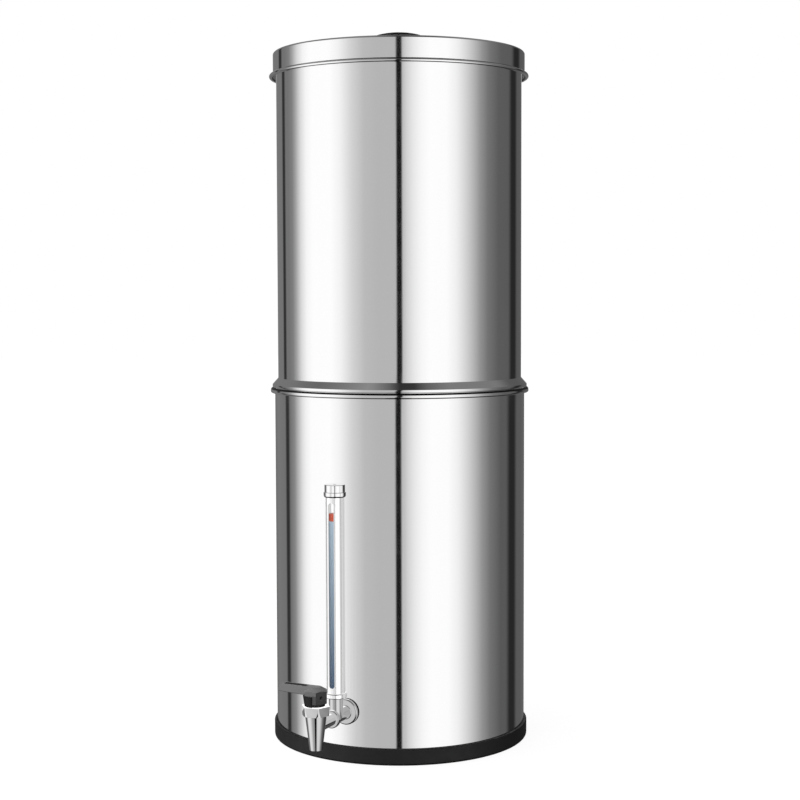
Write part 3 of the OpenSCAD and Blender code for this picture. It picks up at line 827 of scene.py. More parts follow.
@dataclass
class LowerChamber(Sheet):
    """The cup that stands in the base ring and holds the filtered water."""

    radius: float = 110.0
    foot: float = 3.0
    height: float = 307.0
    corner: float = 6.0
    roll_d: float = 4.6
    roll_corners: Point = (2.3, 1.3)
    crease_rise: float = 0.45
    tap_height: float = 44.0
    tap_hole_d: float = 16.5

    def build(self) -> None:
        """Makes the cup with its rolled rim and the hole for the tap."""
        inside = self.radius - self.thickness
        bend = (self.radius - self.corner, self.foot + self.corner)
        roll_z = self.foot + self.height - self.roll_d / 2
        ring_z = roll_z - 2 * self.roll_d
        outline = Outline(closed=False).to((0, self.foot))
        outline.arc(bend, self.corner, -90, 0, 8).to((self.radius, ring_z))
        self.roll(outline, self.roll_d, self.roll_d, self.roll_corners, roll_z, True)
        outline.to((inside, ring_z)).arc(bend, self.corner - self.thickness, 0, -90, 8)
        outline.to((0, self.foot + self.thickness))
        cup = turn(outline, Faces.VESSEL)
        drill = 30.0
        at = Matrix.Translation((0, drill / 2 - inside, self.tap_height)) @ lying()
        cup = combine(cup, moved(rod(self.tap_hole_d / 2, drill, Faces.MIDDLE), at), Merge.CUT)
        piece = make_piece("lower_cup", cup, POLISHED_STEEL, Body.LOWER, "lower_chamber")
        # The roll's upper faces get dark steel: painted shade in the crease under the upper chamber's
        # shoulder.
        self.paint_shade(piece, lambda face: face.center.z > roll_z * MM and face.normal.z > self.crease_rise)


@dataclass
class UpperChamber(Sheet):
    """The cup that nests in the lower one and rests on its rim by a pressed shoulder."""

    radius: float = 107.25
    floor: float = 288.3
    shoulder: float = 310.3
    rim: float = 599.7
    corner: float = 6.0
    shoulder_w: float = 5.0
    lip_h: float = 2.8
    lip_foot_r: float = 0.6
    lip_crest_r: float = 0.4
    shoulder_h: float = 8.2
    hem_d: float = 2.4
    stem_spacing: float = 92.0
    stem_hole_d: float = 11.0

    def build(self) -> None:
        """Makes the cup with its shoulder, its hem and the two holes for the filters' stems."""
        t = self.thickness
        inside = self.radius - t
        bend = (self.radius - self.corner, self.floor + self.corner)
        edge = self.lip_crest_r
        lip_x = self.radius + self.shoulder_w
        lip_foot = (lip_x - self.lip_foot_r, self.shoulder + self.lip_foot_r)
        lip_crest = (lip_x - edge, self.shoulder + self.lip_h - edge)
        across = edge - self.shoulder_w
        rise = self.shoulder_h - self.lip_h + edge
        lean = math.atan2(rise, across) - math.acos(edge / math.hypot(across, rise))
        apex = self.shoulder + self.shoulder_h
        hem_r = self.hem_d / 2
        hem_z = self.rim - hem_r
        ring_z = hem_z - self.ring
        inner_apex = apex - t / math.sin(lean) + t / math.tan(lean)
        outline = Outline(closed=False).to((0, self.floor)).arc(bend, self.corner, -90, 0, 8)
        outline.to((self.radius, self.shoulder))
        outline.arc(lip_foot, self.lip_foot_r, -90, 0, 8).arc(lip_crest, edge, 0, math.degrees(lean), 4)
        outline.to((self.radius, apex), (self.radius, apex + self.ring), (self.radius, ring_z))
        self.roll(outline, self.hem_d, self.hem_d, (hem_r, hem_r), hem_z, True)
        outline.to((inside, ring_z), (inside, inner_apex + self.ring), (inside, inner_apex))
        outline.to((lip_x - t, lip_crest[1] + (edge - t) * math.tan(lean / 2)))
        outline.to((lip_x - t, self.shoulder + 2 * t), (lip_foot[0], self.shoulder + t))
        outline.to((inside, self.shoulder + t)).arc(bend, self.corner - t, 0, -90, 8)
        outline.to((0, self.floor + t))
        cup = turn(outline, Faces.VESSEL)
        drill = 6.0
        for side in (-1, 1):
            at = Matrix.Translation((side * self.stem_spacing / 2, 0, self.floor - drill / 2))
            cup = combine(cup, moved(rod(self.stem_hole_d / 2, drill, Faces.SMALL), at), Merge.CUT)
        make_piece("upper_cup", cup, POLISHED_STEEL, Body.UPPER, "upper_chamber", mirrored=True)


@dataclass
class Lid(Sheet):
    """The lid: a shallow cap with a rolled skirt, a crowned panel and a black knob."""

    radius: float = LowerChamber.radius
    top: float = 600.8
    skirt: float = 21.8
    edge: float = 2.2
    edge_turn: float = 88.0
    crown: float = 3.0
    roll_h: float = 2.9
    roll_over: float = 1.2
    roll_corners: Point = (1.0, 1.45)
    groove_z: float = 1.35
    groove_h: float = 0.95
    groove_foot: float = 0.3
    groove_deep: float = 0.6
    screw_hole_d: float = 5.4
    knob_d: float = 43.0
    knob_h: float = 15.1
    knob_foot_d: float = 22.0
    knob_waist: float = 5.5
    knob_under: float = 2.6
    knob_over: float = 6.0
    knob_over_turn: float = 26.0
    knob_dome: float = 3.2
    knob_dome_in: float = 1.3

    def build(self) -> None:
        """Makes the shell and the knob."""
        self.build_shell()
        self.build_knob()

    def crown_run(self, outline: Outline, sag: float, inwards: bool) -> None:
        """Adds the crowned panel's line, between its edge and the screw hole.

        Args:
            outline: The half section that gets the line.
            sag: How far the line lies under the panel's outer face.
            inwards: Whether it goes from the edge to the hole, or back.
        """
        panel = self.radius - self.edge
        ball = (panel**2 + self.crown**2) / (2 * self.crown)
        hole = self.screw_hole_d / 2
        steps = 24
        order = range(steps + 1) if inwards else range(steps, -1, -1)
        for i in order:
            r = panel + (hole - panel) * i / steps
            outline.to((r, self.top + self.crown - ball + math.sqrt((ball - sag) ** 2 - r**2)))

    def build_shell(self) -> None:
        """Makes the steel shell."""
        t = self.thickness
        bend = (self.radius - self.edge, self.top - self.edge)
        roll_z = self.top - self.skirt + self.roll_h / 2
        groove_x = self.radius - self.groove_deep
        groove_z = roll_z + self.groove_z
        outline = Outline(closed=True)
        self.crown_run(outline, 0, False)
        outline.arc(bend, self.edge, self.edge_turn, 0, 8)
        outline.to((self.radius, roll_z + self.ring), (self.radius, groove_z + self.groove_h))
        outline.to((groove_x, groove_z), (groove_x, groove_z - self.groove_foot))
        outline.to((self.radius, groove_z - 2 * self.groove_foot))
        wide = self.roll_h + self.roll_over
        self.roll(outline, self.roll_h, wide, self.roll_corners, roll_z, False)
        outline.to((self.radius - t, roll_z + self.ring)).arc(bend, self.edge - t, 0, self.edge_turn, 8)
        self.crown_run(outline, t, True)
        shell = turn(outline, Faces.VESSEL)
        piece = make_piece("lid_cover", shell, POLISHED_STEEL, Body.LID, "lid_shell")
        below = (self.top - self.edge) * MM
        # The inside of the skirt gets dark steel: painted shade in the lid's hollow.
        self.paint_shade(piece, lambda face: face.center.z < below and face.center.xy.dot(face.normal.xy) < 0)

    def build_knob(self) -> None:
        """Makes the knob: a waisted foot under a wide cap with a shallow dome."""
        cap = self.knob_d / 2
        ball = (cap**2 + self.knob_dome**2) / (2 * self.knob_dome)
        waist = (self.knob_foot_d / 2 + self.knob_waist, 0)
        under = (cap - self.knob_under, self.knob_waist + self.knob_under)
        over = (cap - self.knob_over, self.knob_h - self.knob_over)
        outline = Outline(closed=False).to((0, 0)).arc(waist, self.knob_waist, 180, 90, 12)
        outline.arc(under, self.knob_under, -90, 0, 8)
        outline.arc(over, self.knob_over, 0, self.knob_over_turn, 8)
        steps = 14
        for i in range(steps + 1):
            r = (cap - self.knob_dome_in) * (1 - i / steps)
            outline.to((r, self.knob_h - ball + math.sqrt(ball**2 - r**2)))
        knob = moved(turn(outline, Faces.LARGE), raised(self.top + self.crown))
        make_piece("lid_knob_cap", knob, KNOB_PHENOLIC, Body.LID, "lid_knob", mirrored=True)


@dataclass
class BaseRing:
    """The rubber ring that the lower chamber stands in."""

    chamber_r: float = LowerChamber.radius
    wall: float = 2.4
    height: float = 14.0
    foot: float = LowerChamber.foot
    foot_w: float = 16.0
    toe: float = 2.4
    lip: float = 0.8
    inner_lip: float = 0.4
    corner: float = LowerChamber.corner

    def build(self) -> None:
        """Makes the ring with its foot under the chamber."""
        inside = self.chamber_r + PLAY
        outer = inside + self.wall
        hole = self.chamber_r - self.foot_w
        bend = (self.chamber_r - self.corner, self.foot + self.corner)
        outline = Outline().to((hole, 0)).corner((outer, 0), self.toe, -90, 8)
        outline.corner((outer, self.height), self.lip, 0, 6)
        outline.corner((inside, self.height), self.inner_lip, 90, 4)
        outline.arc(bend, self.corner + PLAY, 0, -90, 8).to((hole, self.foot))
        ring = turn(outline, Faces.VESSEL)
        make_piece("base_ring_rubber", ring, BASE_RUBBER, Body.LOWER, "base_ring", mirrored=True)


# ------------------------------------------------------------------ tap


@dataclass
class Tap:
    """The tap: a tee through the wall, a coupling ring and a body with a tapering spout."""

    wall_r: float = LowerChamber.radius
    height: float = LowerChamber.tap_height
    shank_d: float = 16.0
    shank_in: float = 12.0
    thread_pitch: float = 1.5
    thread_deep: float = 0.8
    washer: float = 1.8
    flange_d: float = 21.6
    flange: float = 3.0
    flange_edge: float = 1.2
    barrel_d: float = 11.0
    fillet: float = 0.7
    gauge_out: float = 21.5
    barrel_past: float = 6.0
    neck_d: float = 11.9
    neck_top: float = 19.0
    coupling_d: float = 14.8
    coupling: float = 4.2
    coupling_edge: float = 0.8
    bore_d: float = 8.0
    tail_d: float = 10.0
    spout_out: float = 58.0
    tip_z: float = 25.5
    tip_d: float = 10.6
    cone_d: float = 17.6
    collar_rise: float = 10.2
    collar_h: float = 7.6
    collar_af: float = 20.8
    hex_turn: float = 7.0
    gland_r: float = 6.5

    @property
    def gauge_r(self) -> float:
        """Distance from the vessel's axis to the sight gauge's."""
        return self.wall_r + self.gauge_out

    @property
    def spout_r(self) -> float:
        """Distance from the vessel's axis to the spout's."""
        return self.wall_r + self.spout_out

    @property
    def barrel_end(self) -> float:
        """Distance from the vessel's axis to the end of the tee's barrel."""
        return self.gauge_r + self.barrel_past

    def along(self, distance: float) -> Matrix:
        """Places what stands on +Z along the tap's axis, at a distance from the vessel's axis."""
        return Matrix.Translation((0, -distance, self.height)) @ lying()

    def at_gauge(self, z: float) -> Matrix:
        """Places what stands on +Z at the sight gauge's axis, at a height."""
        return Matrix.Translation((0, -self.gauge_r, z))

    def at_spout(self, z: float) -> Matrix:
        """Places what stands on +Z at the spout's axis, at a height."""
        return Matrix.Translation((0, -self.spout_r, z))

    def build(self) -> None:
        """Makes the washer, the tee, the coupling ring and the body."""
        self.build_washer()
        self.build_tee()
        self.build_coupling()
        self.build_body()

    def build_washer(self) -> None:
        """Makes the outer washer, whose back follows the wall."""
        past = 0.1
        depth = 2.0
        bore = self.shank_d / 2
        outline = puck(self.flange_d / 2 + past, self.washer + depth, SHARP, top=0.4, bore=bore)
        washer = moved(turn(outline), self.along(self.wall_r - depth))
        for vert in washer.verts:
            vert.co.y = min(vert.co.y, -math.sqrt(self.wall_r**2 - vert.co.x**2))
        make_piece("tap_washer_seal", weld(washer), BLACK_RUBBER, Body.LOWER, "tap_outer_washer")

    def build_tee(self) -> None:
        """Makes the shank, the wall flange, the barrel and the upright neck as one casting."""
        back = self.wall_r + self.washer
        face = back + self.flange
        start = self.wall_r - self.shank_in
        root = self.shank_d / 2 - self.thread_deep
        rim = self.flange_d / 2
        r = self.barrel_d / 2
        fine, nose = 0.3, 0.5
        outline = Outline(closed=False).to((0, start), (root, start), (root, back))
        outline.corner((rim, back), fine, -90, 3).corner((rim, face), self.flange_edge, 0, 8)
        outline.arc((r + self.fillet, face + self.fillet), self.fillet, -90, -180, 5)
        outline.corner((r, self.barrel_end), nose, 0, 4).to((0, self.barrel_end))
        barrel = moved(turn(outline, Faces.LARGE), self.along(0))
        neck = turn(puck(self.neck_d / 2, self.neck_top, SHARP, fine))
        tee = combine(barrel, moved(neck, self.at_gauge(self.height)), Merge.JOIN)
        threaded = self.shank_in - 3 * LEAD
        ridge = thread(self.shank_d / 2, self.thread_pitch, threaded, self.thread_deep)
        tee = added(tee, moved(ridge, self.along(start + LEAD)))
        make_piece("tap_tee", tee, CAST_CHROME, Body.LOWER, "gauge_tee")

    def build_coupling(self) -> None:
        """Makes the coupling ring."""
        edge = self.coupling_edge
        outline = puck(self.coupling_d / 2, self.coupling, edge, edge, self.bore_d / 2 + PLAY, 6)
        ring = moved(turn(outline), self.along(self.barrel_end + PLAY))
        make_piece("coupling", ring, CAST_CHROME, Body.LOWER, "tap_coupling_ring")

    def build_body(self) -> None:
        """Makes the body: tail, tapering spout and hex collar."""
        outlet = self.bore_d / 2
        cone = self.cone_d / 2
        cone_top = self.height + self.collar_rise
        inner_edge, outer_edge, tail_edge, spigot_edge = 0.4, 0.5, 0.3, 0.2
        outline = Outline().to((outlet, cone_top - 1), (outlet, self.tip_z + inner_edge))
        outline.corner((outlet, self.tip_z), inner_edge, 180, 4)
        outline.arc((self.tip_d / 2 - outer_edge, self.tip_z + outer_edge), outer_edge, -90, -8, 5)
        outline.to((cone, cone_top), (cone - 2, cone_top + 1), (outlet, cone_top + 1))
        spout = moved(turn(outline, Faces.LARGE), self.at_spout(0))
        tail_start = self.barrel_end + self.coupling + 2 * PLAY
        tail_into = 5.0
        tail = turn(puck(self.tail_d / 2, self.spout_r - tail_into - tail_start, tail_edge, SHARP))
        spout = combine(spout, moved(tail, self.along(tail_start)), Merge.JOIN)
        collar = moved(self.collar_blank(), self.at_spout(cone_top))
        spigot = puck(self.bore_d / 2, self.coupling + 4, spigot_edge, spigot_edge)
        spigot = turn(spigot, Faces.SMALL)
        moved(spigot, self.along(tail_start - self.coupling - 3))
        make_piece("tap_spout", added(spout, collar, spigot), CHROME, Body.LOWER, "tap_body")

    def collar_blank(self) -> Solid:
        """Turns the collar's blank, mills its flats and rounds its corners.

        Returns:
            The collar, which stands on height 0.
        """
        corner = self.collar_af / math.sqrt(3)
        turned_off, draft, chamfer = 0.2, 0.8, 0.5
        top_r = corner - turned_off
        h = self.collar_h
        outline = Outline().to((self.gland_r, 0), (top_r - draft, 0), (top_r, h))
        outline.to((self.gland_r + chamfer, h), (self.gland_r, h - chamfer))
        blank = turn(outline, Faces.MILLED)
        mill_hexagon(blank, self.collar_af, self.hex_turn)
        soften(blank, radius=0.35, from_angle=30.0)
        return blank


@dataclass
class Handle:
    """The black bonnet and the lever that turns the ball. Angles are in degrees.

    Attributes:
        turned: The shut lever's turn from square to the barrel.
        block_start: Where the block under the hub starts, round from the front.
        block_span: How far it goes round.
        swing: The lever's travel.
        stop_gap: How far past each limit the block meets the bonnet's wall.
        block_shade_z: What lies lower on the lever gets the block's painted shade.
    """

    tap: Tap
    bonnet_foot_d: float = 18.2
    bonnet_top_d: float = 20.8
    bonnet_h: float = 8.7
    flange_r: float = 7.6
    flange_h: float = 2.2
    bore_r: float = 2.7
    core_d: float = 11.6
    gap: float = 0.4
    lever_len: float = 33.0
    foot_w: float = 12.5
    top_w: float = 8.2
    lever_h: float = 6.4
    block_shade_z: float = 1.5
    rise: float = 0.9
    turned: float = -4.0
    hub_af: float = 17.8
    hub_rim: float = 3.1
    hub_top_r: float = 4.4
    pocket_w: float = 5.0
    pocket_deep: float = 1.8
    pocket_start: float = 8.0
    pocket_wall: float = 2.0
    tip_slant: float = 2.2
    block_start: float = 8.0
    block_span: float = 90.0
    swing: float = 90.0
    stop_gap: float = 3.0
    screw_turn: float = 60.0
    screw_rise: float = 1.85
    screw_d: float = 3.0
    screw_len: float = 4.95
    screw_start: float = 2.15
    key_deep: float = 1.4

    @property
    def bonnet_z(self) -> float:
        """Height of the bonnet's foot, which is the collar's top."""
        return self.tap.height + self.tap.collar_rise + self.tap.collar_h

    @property
    def lever_z(self) -> float:
        """Height of the lever's foot."""
        return self.bonnet_z + self.bonnet_h + self.gap

    @property
    def skirt_z(self) -> float:
        """Height of the foot of the lever's core and block."""
        return self.bonnet_z + self.flange_h + self.gap

    @property
    def skirt_h(self) -> float:
        """Height of the core and the block, which reach a little way into the hub."""
        return self.lever_z - self.skirt_z + 0.5

    @property
    def pocket_end(self) -> float:
        """Distance from the hub's axis to the far end of the pocket."""
        return self.lever_len - self.pocket_wall - self.tip_slant

    def build(self) -> None:
        """Makes the bonnet, the lever and its grub screw."""
        self.build_bonnet()
        self.build_lever()
        self.build_screw()

    def build_bonnet(self) -> None:
        """Makes the bonnet: a round flange with a wall over half of its way round."""
        foot = self.bonnet_foot_d / 2
        top = self.bonnet_top_d / 2
        h = self.bonnet_h
        inner = self.core_d / 2 + self.gap
        edge, rim_w, rim_h, flare = 0.3, 0.5, 0.4, 0.1
        into, sunk = 0.6, 0.2
        root = self.flange_r - into
        root_z = self.flange_h - sunk
        wall = Outline().to((inner, root_z), (inner, h - edge), (inner + edge, h), (top - rim_w, h))
        wall.to((top, h - rim_h), (foot + flare, edge), (foot - edge, 0), (root, 0), (root, root_z))
        start = self.block_start + self.block_span + self.swing + self.stop_gap - 90
        end = self.block_start - self.stop_gap + 270
        half = turn(wall, Faces.MIDDLE, start, end - start)
        flange = turn(puck(self.flange_r, self.flange_h, foot=0.2, top=0.4, bore=self.bore_r))
        bonnet = moved(combine(flange, half, Merge.JOIN), self.tap.at_spout(self.bonnet_z))
        deep = 7.0
        gland = turn(puck(self.tap.gland_r - PLAY, deep, edge, SHARP, self.bore_r), Faces.MIDDLE)
        bonnet = added(bonnet, moved(gland, self.tap.at_spout(self.bonnet_z - deep)))
        make_piece("bonnet_boss", bonnet, BONNET_NYLON, Body.LOWER, "bonnet")

    def arm(self) -> Solid:
        """Makes the lever's arm: a tapering bar with a slanted tip and a pocket in its top.

        Returns:
            The arm, which points to -X from the hub's axis.
        """
        h = self.lever_h
        bm = bmesh.new()
        bmesh.ops.create_cube(bm, size=1)
        for vert in bm.verts:
            high = vert.co.z > 0
            tip = -self.lever_len + (self.tip_slant if high else 0)
            vert.co.x = tip if vert.co.x < 0 else 0
            vert.co.y = math.copysign((self.top_w if high else self.foot_w) / 2, vert.co.y)
            vert.co.z = h if high else 0
        hub_x = self.hub_af / 2
        below = Vector((-self.rise, 0, hub_x - self.lever_len)).normalized()
        slice_off(bm, Vector((-hub_x, 0, 0)), below)
        bmesh.ops.recalc_face_normals(bm, faces=bm.faces)
        soften(bm, radius=0.45, from_angle=20.0, segments=4)
        half = self.pocket_w / 2
        pocket = box((-self.pocket_end, -half, h - self.pocket_deep), (-self.pocket_start, half, h + 2))
        soften(pocket, radius=0.5, from_angle=20.0)
        return combine(bm, pocket, Merge.CUT)

    def hub(self) -> Solid:
        """Makes the lever's hub: a turned blank with a sloping top and six flats.

        Returns:
            The hub, which stands on height 0.
        """
        corner = self.hub_af / math.sqrt(3)
        h = self.lever_h
        soft, dip = 0.3, 0.15
        outline = Outline(closed=False).to((0, 0), (corner, 0), (corner, self.hub_rim))
        outline.to((self.hub_top_r + soft, h - dip), (self.hub_top_r - soft, h), (0, h))
        blank = turn(outline, Faces.MILLED)
        mill_hexagon(blank, self.hub_af, 0)
        return blank

    def block(self) -> Solid:
        """Makes the block under the hub, which turns between the ends of the bonnet's wall.

        Returns:
            The block, which stands on height 0.
        """
        corner = self.hub_af / math.sqrt(3)
        h = self.skirt_h
        outline = Outline(closed=False).to((0, 0), (corner, 0), (corner, h), (0, h))
        block = turn(outline, Faces.MILLED)
        mill_hexagon(block, self.hub_af, self.turned)
        for angle, sense in ((self.block_start, -1), (self.block_start + self.block_span, 1)):
            along = math.radians(angle - 90)
            outward = Vector((-math.sin(along), math.cos(along), 0)) * sense
            slice_off(block, Vector((0, 0, 0)), outward)
        bmesh.ops.recalc_face_normals(block, faces=block.faces)
        return block

    def build_lever(self) -> None:
        """Joins the arm, the hub, the core and the block, and drills the screw's hole."""
        up = raised(self.lever_z) @ about_z(self.turned)
        down = raised(self.skirt_z)
        lever = combine(moved(self.arm(), up), moved(self.hub(), up), Merge.JOIN)
        lever = combine(lever, moved(self.block(), down), Merge.JOIN)
        core = turn(puck(self.core_d / 2, self.skirt_h, foot=0.2, top=SHARP))
        lever = combine(lever, moved(core, down), Merge.JOIN)
        drill = 20.0
        hole = moved(rod(self.screw_d / 2 + PLAY, drill, Faces.SMALL), self.screw_place(self.screw_d))
        lever = moved(combine(lever, hole, Merge.CUT), self.tap.at_spout(0))
        piece = make_piece("lever", lever, LEVER_NYLON, Body.HANDLE, "tap_lever", smooth_below=28.0)
        self.paint_lever_shade(piece)

    def paint_lever_shade(self, piece: bpy.types.Object) -> None:
        """Paints shade on the lever: black in the pocket in the arm's top, and a darker copy of the nylon
        on the block.

        Args:
            piece: The lever, which has its own finish already.
        """
        piece.data.materials.append(BONNET_NYLON.material())
        piece.data.materials.append(SHADE_PAINTED_NYLON.material())
        home = (self.tap.at_spout(self.lever_z) @ about_z(self.turned)).inverted()
        half = self.pocket_w / 2 + PLAY
        floor = self.lever_h - self.pocket_deep - PLAY
        # The pocket's faces get the bonnet's black nylon and the block's faces the darker nylon: both
        # painted shade.
        for face in piece.data.polygons:
            x, y, z = home @ (face.center / MM)
            inside = -self.pocket_end - PLAY < x < -self.pocket_start + PLAY and abs(y) < half
            if inside and floor < z < self.lever_h - PLAY:
                face.material_index = 1
            elif z < self.block_shade_z:
                face.material_index = 2

    def screw_place(self, distance: float) -> Matrix:
        """Places what stands on +Z along the grub screw's axis.

        Args:
            distance: How far from the spindle's axis it starts.

        Returns:
            The matrix.
        """
        z = (self.skirt_z + self.lever_z) / 2 + self.screw_rise
        outwards = about_z(self.screw_turn - 90) @ about_z(self.turned)
        level = Matrix.Rotation(math.pi / 2, 4, "Y")
        return raised(z) @ outwards @ Matrix.Translation((distance, 0, 0)) @ level

    def build_screw(self) -> None:
        """Makes the grub screw with its hexagon socket."""
        screw = turn(puck(self.screw_d / 2, self.screw_len, foot=0.3, top=0.25), Faces.SMALL)
        key = rod(self.screw_d / 2, 3, Faces.SMALL)
        mill_hexagon(key, self.screw_d / 2, 0)
        screw = combine(screw, moved(key, raised(self.screw_len - self.key_deep)), Merge.CUT)
        moved(screw, self.tap.at_spout(0) @ self.screw_place(self.screw_start))
        make_piece("lever_grub_screw", screw, BLACK_OXIDE, Body.HANDLE, "lever_screw")


# ------------------------------------------------------------------ sight gauge


@dataclass
class SightGauge:
    """The sight gauge: a steel sleeve with a window round a clear tube with a red float."""

    tap: Tap
    sleeve_d: float = 15.8
    sleeve_t: float = 0.9
    sleeve_down: float = 0.4
    sleeve_up: float = 2.2
    tube_h: float = 163.0
    tube_d: float = 13.2
    tube_t: float = 1.1
    window_w: float = 5.0
    socket_d: float = 18.4
    socket_h: float = 4.2
    socket_over: float = 1.6
    window_rise: float = 4.3
    window_drop: float = 4.1
    cap_d: float = 18.2
    cap_top_d: float = 16.8
    cap_down: float = 2.0
    cap_skirt: float = 4.4
    cap_h: float = 10.4
    cap_foot_r: float = 1.6
    cap_edge: float = 0.5
    vent_d: float = 2.0
    vent_edge: float = 0.3
    float_h: float = 6.3
    float_z: float = 209.6
    float_play: float = 0.45
    seal: float = 2.0

    @property
    def neck_top(self) -> float:
        """Height of the neck's top, where the lower seal lies."""
        return self.tap.height + self.tap.neck_top

    @property
    def tube_z(self) -> float:
        """Height of the clear tube's foot."""
        return self.neck_top + self.seal

    @property
    def tube_top(self) -> float:
        """Height of the clear tube's top."""
        return self.tube_z + self.tube_h

    def build(self) -> None:
        """Makes every piece of the gauge."""
        self.build_socket()
        self.build_sleeve()
        self.build_cap()
        self.build_tube()
        self.build_float()

    def build_socket(self) -> None:
        """Makes the ring at the gauge's foot."""
        bore = self.tap.neck_d / 2 + PLAY
        ring = turn(puck(self.socket_d / 2, self.socket_h, foot=0.8, top=1.2, bore=bore, steps=6))
        moved(ring, self.tap.at_gauge(self.neck_top - self.socket_h + self.socket_over))
        make_piece("gauge_foot_ring", ring, CHROME, Body.LOWER, "gauge_socket")

    def build_sleeve(self) -> None:
        """Makes the sleeve and cuts its window."""
        start = self.neck_top - self.sleeve_down
        end = self.tube_top + self.sleeve_up
        outer = self.sleeve_d / 2
        edge = 0.15
        tube = puck(outer, end - start, edge, edge, outer - self.sleeve_t, 2)
        tube = moved(turn(tube, Faces.LARGE), self.tap.at_gauge(start))
        low = self.neck_top + self.socket_over + self.window_rise
        high = self.tube_top - self.cap_down - self.window_drop
        reach = 12.0
        window = moved(prism(slot_outline(self.window_w, high - low), reach), lying())
        tube = combine(tube, moved(window, self.tap.at_gauge(low)), Merge.CUT)
        make_piece("gauge_window_sleeve", tube, SLEEVE_STEEL, Body.LOWER, "gauge_sleeve")

    def build_cap(self) -> None:
        """Makes the cap: a skirt with a rounded foot under a narrower polished top with a vent."""
        bore = self.sleeve_d / 2 + PLAY
        vent = self.vent_d / 2
        step = self.sleeve_up + self.cap_down + PLAY
        foot, edge, fine = self.cap_foot_r, self.cap_edge, self.vent_edge
        skirt = self.cap_d / 2
        top = self.cap_top_d / 2
        outline = Outline().to((bore, 0)).corner((skirt, 0), foot, -90, 8)
        outline.corner((skirt, self.cap_skirt), edge, 0, 4).to((top, self.cap_skirt))
        outline.corner((top, self.cap_h), edge, 0).corner((vent, self.cap_h), fine, 90, 3)
        outline.to((vent, step), (bore, step))
        cap = moved(turn(outline, Faces.LARGE), self.tap.at_gauge(self.tube_top - self.cap_down))
        make_piece("gauge_vent_cap", cap, CHROME, Body.LOWER, "gauge_cap")

    def build_tube(self) -> None:
        """Makes the clear tube and the water in it, whose top stands at the float's foot."""
        outer = self.tube_d / 2
        inner = outer - self.tube_t
        tube = turn(puck(outer, self.tube_h, foot=0.1, top=0.1, bore=inner, steps=2))
        moved(tube, self.tap.at_gauge(self.tube_z))
        make_piece("gauge_clear_tube", tube, CLEAR_TUBE, Body.LOWER, "gauge_glass")
        surface = self.float_z - self.float_h / 2
        inset = 0.1
        film = 0.03
        column = rod(inner - film, surface - self.tube_z - inset, Faces.USUAL)
        moved(column, self.tap.at_gauge(self.tube_z + inset / 2))
        water = make_piece("gauge_water", column, WATER, Body.LOWER)
        water.parent = None
        low = Vector((0, -self.tap.gauge_r, self.tube_z + inset)) * MM
        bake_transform(water)

    def build_float(self) -> None:
        """Makes the float, a disc that is loose in the tube."""
        radius = self.tube_d / 2 - self.tube_t - self.float_play
        disc = turn(puck(radius, self.float_h, foot=0.6, top=0.6), Faces.MIDDLE)
        moved(disc, self.tap.at_gauge(self.float_z - self.float_h / 2))
        make_piece("gauge_red_float", disc, FLOAT_RED, Body.FLOAT, "gauge_float")


# ------------------------------------------------------------------ filters


